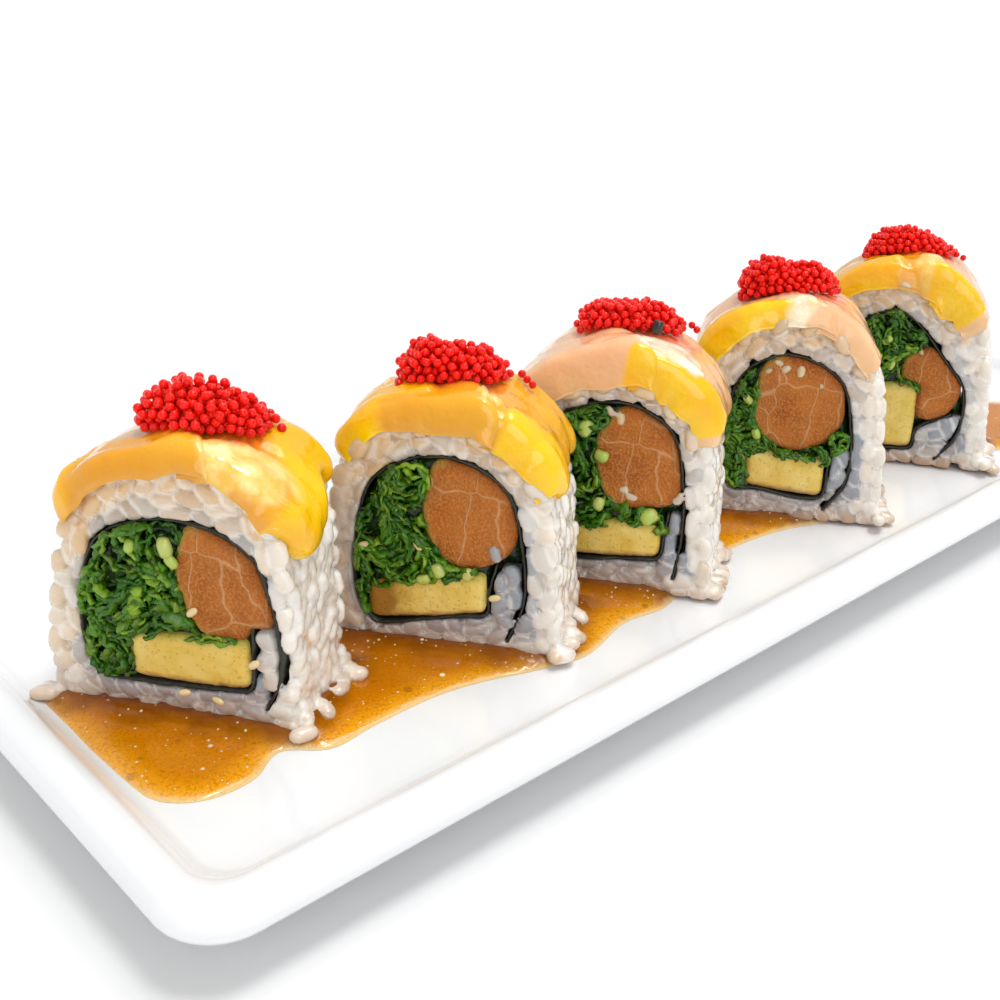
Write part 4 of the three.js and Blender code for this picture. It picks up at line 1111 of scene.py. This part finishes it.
def buildSeaweed(name, node, roll, outlines, at):
    rng = np.random.default_rng(roll["seed"] + 7)
    v = fillingValues
    parts = []
    room = saladRoomOf(roll, at)
    phase = rng.uniform(0, 6, 4)

    def combed(u, z):
        return 1.2 + 1.5 * math.sin(0.21 * u + phase[0]) + 1.4 * math.sin(0.19 * z + phase[1])

    for side in (0, roll["thickness"]):
        tries = triesIn(room, rng, v["tries"], 0.5)
        strands = v["strandsBehind"] if side else v["strands"]
        for count in range(strands):
            layer = 1.6 - 2.0 * count / strands + rng.uniform(-0.3, 0.3)
            leaf = rng.uniform(0, 1) < v["leaves"]
            start = tries[rng.integers(len(tries))]
            line = strandLine(room, rng, start, combed, rng.uniform(3, 6 if leaf else 9))
            if line is None:
                continue
            line = spaced(smoothLine(line, perSpan=3), 0.5)
            i = np.arange(len(line))
            curl = (rng.uniform(0.12, 0.42) * np.sin(i * rng.uniform(0.9, 1.7) + rng.uniform(0, 6)))[:, None]
            line = besideLine(line, 1) * curl + line * (1 - curl)
            lumps = 0.7 * wobble(line[:, 0], line[:, 1], roll["seed"] + 5, 0.35)
            depth = layer + lumps + 0.4 * np.sin(i * rng.uniform(0.4, 1.1) + rng.uniform(0, 6))
            line = np.stack([line[:, 0], side - depth if side else depth, line[:, 1]], 1)
            ruffle = 1 + 0.3 * np.sin(i * rng.uniform(1.3, 2.6) + rng.uniform(0, 6))
            taper = np.clip(np.minimum(i + 0.6, len(line) - i - 0.4) / 1.8, 0.3, 1)
            radius = rng.uniform(*(0.9, 1.5) if leaf else (0.4, 0.75)) * ruffle * taper
            points, faces = tube(line, radius, 5, rng.uniform(*(0.22, 0.36) if leaf else (0.4, 0.85)),
                                 rng.uniform(-0.35, 0.35))
            parts.append((points, faces, {"tint": rng.uniform(0, 1), "pale": rng.uniform(0, 1) ** 6,
                                          # deep: painted shade on strands that lie further in
                                          "deep": np.clip((np.repeat(depth, 5) + 0.1) / 1.9, 0, 1) * 0.85}))
    # the backing behind the strands is painted in full shade
    points, faces, _ = slab(roll, outlines["room"], v["backing"], 1.6, 0.3, relief(roll, 60, 0.3, 1.5, 0, 1))
    parts.append((points, faces, {"tint": 0.0, "pale": 0.0, "deep": 1.0}))
    makePiece(name, joinParts(parts), seaweedFinish, "seaweed", [node], roll)
    buildSeeds(name.replace("Seaweed", "Seeds"), roll, room, rng)


def buildSeeds(name, roll, room, rng):
    # sesame seeds and pale bits on the front cut face, and as many at random places of the back one
    forms = blobForm(rng, 10, 8, 0.85, 0.0, 0.03), blobForm(rng, 8, 7, 0.5, 0.3, 0.12)
    shapes = np.array([1.0, 0.6, 0.36]), np.array([1.0, 0.8, 0.6])
    scattered = [(u, z, 2.2, 0) for u, z in roll["seeds"]] + [(*bit, 1) for bit in roll["bits"]]
    seeds = []
    for side in (0, roll["thickness"]):
        if side:
            tries = triesIn(room, rng, fillingValues["seedTries"], 1.4)
            scattered = [(u, z, length, kind) for (u, z), (_, _, length, kind) in zip(tries, scattered)]
        for u, z, length, kind in scattered:
            angle = rng.uniform(0, math.pi)
            depth = rng.uniform(-0.6, -0.3)
            points, faces = setForm(forms[kind], np.array([u, side - depth if side else depth, z]),
                                    np.array([math.cos(angle), 0.1, math.sin(angle)]), outFrom(side),
                                    length * shapes[kind])
            seeds.append((points, faces, {"pale": kind * rng.uniform(0.7, 1), "dark": 0.0}))
    makePiece(name, joinParts(seeds), seedFinish, "seaweed", [], roll)


# Each patch of sauce is (share of the arch, depth, half share, half depth, tilt).
toppings = [
    {"finish": ("glazed", "glazed"), "yellow": [(0.335, 8, 0.03, 9, 0), (0.72, 4, 0.055, 7, 0.3),
     (0.68, 15, 0.09, 8, 0)], "cream": [(0.6, 2.4, 0.06, 3.6, 0.2), (0.63, 6.5, 0.05, 1.6, 0.2)],
     "thin": [(0.46, 10, 0.05, 6, 0)]},
    {"finish": ("glazed", "glazed"), "yellow": [(0.36, 6, 0.055, 14, 0), (0.665, 1.6, 0.07, 5.6, 0.2),
     (0.43, 5, 0.06, 3, 0)], "cream": [(0.565, 3.6, 0.02, 1.6, 0.3)], "thin": []},
    {"finish": ("fish", "fish"), "yellow": [(0.6, -1.2, 0.075, 2.6, 0), (0.665, 0.0, 0.05, 3.8, 0.1)],
     "cream": [(0.58, 4.6, 0.055, 4.4, 0.2)], "thin": [(0.3, 6, 0.03, 8, 0), (0.72, 12, 0.02, 9, 0)]},
    {"finish": ("fish", "fish"), "yellow": [(0.37, 1.4, 0.075, 4.2, -0.2), (0.44, 0.4, 0.05, 3.2, -0.2)],
     "cream": [(0.49, 0.6, 0.04, 3.6, 0)], "thin": [(0.7, 10, 0.03, 9, 0)]},
    {"finish": ("glazed", "fish"), "yellow": [(0.4, 3, 0.09, 7, 0), (0.6, -0.6, 0.065, 3.4, 0.1)],
     "cream": [(0.545, 3, 0.04, 4.6, 0)], "thin": [(0.68, 10, 0.03, 9, 0)]},
]
sliceValues = {"thickness": 3.2, "sauce": 0.9, "across": 60, "deep": 38, "overhang": 1.3, "overlap": 0.022,
               "slant": 0.1, "dripWidth": 5.5, "roundFront": 5.5, "roundBack": 4.0}


def patchMask(share, depth, patches, seed):
    # 1 inside the patches of one kind, 0 outside them
    mask = np.zeros(share.shape)
    for order, (s, d, halfS, halfD, tilt) in enumerate(patches):
        ds, dd = (share - s) / halfS, (depth - d) / halfD
        turned = ds * math.cos(tilt) + dd * math.sin(tilt), dd * math.cos(tilt) - ds * math.sin(tilt)
        reach = (np.abs(turned[0]) ** 2.4 + np.abs(turned[1]) ** 2.4) ** (1 / 2.4)
        reach = reach + 0.16 * wobble(share * 110, depth, seed + order, 0.5)
        mask = np.maximum(mask, smoothStep(1.08, 0.86, reach))
    return mask


def drape(roll, line, start, end, front, back, topping, lifted, seed):
    # one slice that lies over the arch from start to end and from front to back
    v = sliceValues
    w = np.sin(np.linspace(-1, 1, v["across"] + 1) * math.pi / 2)
    d = np.sin(np.linspace(-1, 1, v["deep"] + 1) * math.pi / 2)
    ww, dd = np.meshgrid(w, d)
    seen = 0.5 * wobble(ww * 9, dd * 3, seed, 0.5)
    depth = front + (dd + 1) / 2 * (back - front) + seen * (np.abs(dd) ** 3)
    shareStart, shareEnd = start(depth), end(depth)
    share = shareStart + (ww + 1) / 2 * (shareEnd - shareStart)
    masks = {key: patchMask(share, depth, topping[key], seed + 70 + i)
             for i, key in enumerate(("yellow", "cream", "thin"))}
    fromFront = 1 - np.clip((depth - depth[:1]) / v["roundFront"], 0, 1)
    fromBack = 1 - np.clip((depth[-1:] - depth) / v["roundBack"], 0, 1)
    edge = np.clip((1 - np.abs(ww) ** 9) * (1 - fromFront ** 2.4) * (1 - fromBack ** 2.4), 0, 1) ** 0.5
    body = v["thickness"] * (1 + 0.1 * wobble(share * 110, depth, seed + 1, 0.28))
    body = body * (1 - (1 - roll["slim"]) * smoothStep(0.56, 0.67, share))
    coat = v["sauce"] * np.maximum(masks["yellow"], 0.7 * masks["cream"])
    coat = coat * (1 + 0.35 * wobble(share * 110, depth, seed + 2, 0.45))
    flow = 0.34 * wobble(share * 26, depth, seed + 3, 0.75) * smoothStep(0.55, 0.65, 0.6 + 0.1 * roll["slim"])
    hang = 0.9 + droopOf(roll, share) + 0.55 * wobble(share * 110, 0 * depth, seed + 4, 0.3)
    base = lifted(share, depth) - 0.25 - 0.3 * np.abs(ww) ** 8
    base = base - hang * smoothStep(0.4, -1.4, depth) - 0.8 * smoothStep(-1.2, 1.4, depth - roll["thickness"])
    top, _ = onArch(line, share, base + edge * (body + coat + flow))
    bottom, _ = onArch(line, share, base)
    points = np.vstack([np.stack([p[..., 0], depth, p[..., 1]], -1).reshape(-1, 3) for p in (top, bottom)])
    values = {key: np.tile(mask.ravel(), 2) for key, mask in masks.items()}
    values["thin"] = np.clip(values["thin"] + np.tile(smoothStep(0.5, 0.15, edge).ravel(), 2) * 0.4, 0, 1)
    u, width, middle, depthSpan, *_ = roll["roe"]
    fromRoe = np.hypot((share - shareAbove(line, u)) * 115 / (width / 2 + 1.5),
                       (depth - middle) / (depthSpan / 2 + 1.2))
    values["red"] = np.tile(0.6 * smoothStep(1.15, 0.8, fromRoe).ravel(), 2)
    # painted shade on the lower front face, where no yellow sauce lies
    values["front"] = np.tile(smoothStep(0.4, -1.1, depth).ravel(), 2) * (1 - values["yellow"])
    return points, shellFaces(*share.shape), values


def buildSlices(names, nodes, roll, outlines, topping):
    v = sliceValues
    line = outlines["arch"]
    leftEnd, rightEnd, split, drip, dripDepth = roll["slices"]

    def seam(depth):
        return split + v["slant"] * (0.5 - depth / roll["thickness"])

    def underEnd(depth):
        dripped = drip * np.exp(-(((depth - dripDepth) / v["dripWidth"]) ** 2))
        return rightEnd + dripped + 0.008 * np.sin(depth * 0.8 + roll["seed"])

    def overStart(depth):
        return leftEnd + 0.012 * np.sin(depth * 0.55 + roll["seed"])

    def raised(share, depth):
        return 1.3 * smoothStep(-3.2 * v["overlap"], 0, share - seam(depth))

    front, back = -v["overhang"], roll["thickness"] + v["overhang"]
    under = drape(roll, line, lambda depth: seam(depth) - v["overlap"], underEnd, front, back, topping,
                  lambda share, depth: 0 * share, roll["seed"] + 100)
    over = drape(roll, line, overStart, lambda depth: seam(depth) + v["overlap"], front - 0.2, back, topping,
                 raised, roll["seed"] + 120)
    finishes = {"glazed": (glazedFinish, "glazed_fish"), "fish": (fishFinish, "fish")}
    for name, node, part, kind in zip(names, nodes, (over, under), topping["finish"]):
        makePiece(name, part, *finishes[kind], [node], roll)


roeValues = {"diameter": 1.52, "around": 8, "rings": 6, "seat": 3.4, "drift": 4.5, "rounds": 40}


def shareAbove(line, u):
    at = lengthsAlong(line) / lengthsAlong(line)[-1]
    crown = (at > 0.25) & (at < 0.75)
    return float(np.interp(u, line[crown, 0], at[crown]))


def buildRoe(name, node, roll, outlines):
    v = roeValues
    rng = np.random.default_rng(roll["seed"] + 13)
    u, width, middle, depthSpan, height, strayU = roll["roe"]
    line = outlines["arch"]
    total = lengthsAlong(line)[-1]
    start, end, strayEnd = (shareAbove(line, place) * total
                            for place in (u - width / 2, u + width / 2, strayU))
    size = v["diameter"]
    # places along the arch, into the roll and above the slices; the heap runs to the back at its right end
    grid = np.meshgrid(range(8), range(-10, 11), range(-12, 13), indexing="ij")
    layer, row, column = (places.ravel() for places in grid)
    s = (start + end) / 2 + (column + 0.5 * (row % 2) + 0.5 * (layer % 2)) * size * 0.94
    across = 2 * (s - (start + end) / 2) / (end - start)
    axis = middle + v["drift"] * np.maximum(across, 0)
    d = axis + (row * 0.82 + 0.5 * (layer % 2)) * size
    rise = layer * size * 0.75
    ragged = 0.26 * wobble(s, d, roll["seed"], 0.6)
    shape = (1 - np.abs(across) ** np.where(across < 0, 14, 4) - np.abs(2 * (d - axis) / depthSpan) ** 2.4
             + ragged)
    heap = np.interp(across, (-1, -0.5, 0, 0.5, 1), roll["heap"])
    top = (height + 0.5) * heap * np.maximum(shape, 0) ** 0.42
    kept = (np.abs(across) < 1.02) & (shape > 0.02) & (rise + size * 0.6 <= top)
    spots = list(np.stack([s, d, size * 0.45 + rise], 1)[kept])
    for _ in range(max(2, round((strayEnd - end) * 0.9))):
        s, d = rng.uniform(end - 1.5, strayEnd), middle + v["drift"] + rng.uniform(-1.5, 3.5)
        spots.append((s, d, size * 0.45))
    spots = np.array(spots)
    spots = spots + rng.normal(0, 0.2, spots.shape)
    for _ in range(v["rounds"]):
        apart = spots[:, None] - spots[None]
        distance = np.linalg.norm(apart, axis=-1) + 1e-6
        push = np.clip(size * 0.93 - distance, 0, None) / distance * 0.4
        np.fill_diagonal(push, 0)
        spots = spots + (apart * push[..., None]).sum(1)
        spots[:, 2] = np.maximum(spots[:, 2] - 0.02, size * 0.45)
    form = blobForm(rng, v["around"], v["rings"], 1.0, 0.0, 0.0)
    parts = []
    for s, depth, rise in spots:
        (u, z), _ = spotOnArch(line, s / total, v["seat"] + rise)
        points, faces = setForm(form, np.array([u, depth, z]), rng.normal(0, 1, 3),
                                np.array([0.3, -0.2, 0.9]), size * rng.uniform(0.94, 1.03))
        # low: painted shade on the eggs at the bottom of the heap
        parts.append((points, faces, {"tint": rng.uniform(0, 1), "low": np.clip(1.1 - rise / 1.4, 0, 1)}))
    makePiece(name, joinParts(parts), roeFinish, "roe", [node], roll)
    if "nib" in roll:  # a dark bit that sticks in the eggs
        share, depth, offset = roll["nib"]
        (u, z), _ = spotOnArch(line, share, offset)
        points, faces = setForm(blobForm(rng, 8, 8, 0.4, 0.0, 0.05), np.array([u, depth, z]),
                                np.array([0.2, 0.1, 1.0]), outFrom(0), np.array([2.6, 2.2, 2.2]))
        part = joinParts([(points, faces, {"pale": 0.0, "dark": 1.0})])
        makePiece(name.replace("Roe", "Nib"), part, seedFinish, "seaweed", [], roll)


for index, (roll, topping) in enumerate(zip(rolls, toppings)):
    node = f"roll_{index + 1}"
    outlines = outlinesOf(roll)
    at = makeFields(outlines)
    buildRice(f"{node}.Rice", f"{node}_rice", roll, outlines, at)
    buildNori(f"{node}.Nori", f"{node}_nori", roll, outlines)
    buildSeaweed(f"{node}.Seaweed", f"{node}_seaweed", roll, outlines, at)
    buildSalmon(f"{node}.Salmon", f"{node}_salmon", roll, outlines)
    buildOmelette(f"{node}.Omelette", f"{node}_omelette", roll, outlines)
    buildSlices((f"{node}.SliceLeft", f"{node}.SliceRight"), (f"{node}_slice_left", f"{node}_slice_right"),
                roll, outlines, topping)
    buildRoe(f"{node}.Roe", f"{node}_roe", roll, outlines)
    print(f"roll {index + 1} made")


sauceValues = {
    "step": 1.15, "depth": 0.8, "slope": 6.0, "meniscus": 1.3, "floor": 11.06,
    # shore of the sauce along and across the plate: the near side first, then the far side
    "shore": [(7.8, 66.5), (6.2, 54), (6.4, 42), (8.4, 29), (14, 24), (22, 23.6), (28.5, 27), (35, 22.4),
              (44, 23), (57, 23), (66, 21), (74, 18), (84, 15.5), (98, 19), (108, 18), (120, 22.5),
              (136, 25.5), (152, 24), (164, 20), (172, 22), (184, 36), (196, 40), (216, 24), (232, 16),
              (250, 15.5), (265, 22), (266, 32), (252, 45), (232, 57), (212, 66), (184, 59), (158, 65),
              (134, 58), (110, 68), (90, 64), (72, 71), (50, 72), (33, 77), (18, 70)],
}


def footprint(roll, margin):
    half, thick = rollValues["footHalfWidth"] + margin, roll["thickness"]
    corners = [(-half, -margin, 0), (half, -margin, 0), (half, thick + margin, 0), (-half, thick + margin, 0)]
    return toPlate(corners, roll)[:, :2]


def buildSauce():
    v = sauceValues
    shore = smoothLine(v["shore"], closed=True, perSpan=8)
    shore = shore - (plateValues["length"] / 2, plateValues["width"] / 2)
    flat, faces = fillOutline(shore, v["step"])
    inside = np.maximum(insideBy(flat, shore), 0)
    feet = np.min([-insideBy(flat, footprint(roll, 0.2)) for roll in rolls], 0)
    slope = 1 - (1 - np.clip(inside / v["slope"], 0, 1)) ** 2
    top = v["floor"] + 0.08 + v["depth"] * slope
    top = top + v["meniscus"] * np.exp(-(np.clip(feet, 0, None) / 2.2) ** 2) * slope
    top = top + 0.05 * wobble(flat[:, 0], flat[:, 1], 5, 0.4)
    bottom = np.full(len(flat), v["floor"])
    points, faces = betweenSheets(np.column_stack([flat, top]), np.column_stack([flat, bottom]), faces)
    nearFeet = smoothStep(6, 0, feet + 1.2 * wobble(flat[:, 0], flat[:, 1], 9, 0.5))
    values = {"deep": smoothStep(0, 7, inside), "edge": smoothStep(1.3, 0.1, inside) * 0.75,
              "shade": nearFeet * 0.9}
    values = {key: np.tile(numbers, 2) for key, numbers in values.items()}
    makePiece("saucePool", (points, faces, values), sauceFinish, "brown_sauce", ["sauce_pool"])


buildSauce()
print("sauce made")


stageValues = {
    "floorSize": 30.0, "floorTone": "#ececec", "sky": 0.6,
    "cameraPlace": (-197.7, -174.0, 123.9), "cameraHeading": 41.76, "cameraPitch": 23.89, "lens": 44.45,
    # name: where the light comes from, its width in degrees, strength
    "lights": {"softbox": ((0.35, 0.0, 0.93), 34, 0.9), "front": ((-0.5, -0.75, 0.5), 42, 0.75),
               "window": ((0.08, -0.22, 0.95), 15, 1.0)},
}


def buildStage():
    v = stageValues
    scene = bpy.context.scene
    half = v["floorSize"] / 2
    mesh = bpy.data.meshes.new("floor")
    corners = [(-half, -half, 0), (half, -half, 0), (half, half, 0), (-half, half, 0)]
    mesh.from_pydata(corners, [], [[0, 1, 2, 3]])
    floor = bpy.data.objects.new("floor", mesh)
    scene.collection.objects.link(floor)
    material, _, surface = startMaterial("paleFloor", {"Base Color": colour(v["floorTone"]), "Roughness": 0.9,
                                                       "Specular IOR Level": 0.1})
    mesh.materials.append(material)
    world = bpy.data.worlds.new("studio")
    world.use_nodes = True
    for socket, given in (("Color", (1, 1, 1, 1)), ("Strength", v["sky"])):
        world.node_tree.nodes["Background"].inputs[socket].default_value = given
    scene.world = world
    for name, (source, width, strength) in v["lights"].items():
        lamp = bpy.data.lights.new(name, "SUN")
        lamp.angle, lamp.energy = math.radians(width), strength
        holder = bpy.data.objects.new(name, lamp)
        holder.location = source
        holder.rotation_euler = Vector(source).to_track_quat("Z", "Y").to_euler()
        scene.collection.objects.link(holder)
    camera = bpy.data.cameras.new("camera")
    camera.lens, camera.sensor_width = v["lens"], 36.0
    camera.clip_start, camera.clip_end = 0.01, 100.0
    holder = bpy.data.objects.new("camera", camera)
    holder.location = [c * mm for c in v["cameraPlace"]]
    holder.rotation_euler = (math.radians(90 - v["cameraPitch"]), 0, math.radians(-v["cameraHeading"]))
    scene.collection.objects.link(holder)
    scene.camera = holder
    scene.view_settings.view_transform = "Standard"


buildStage()
print("stage made")
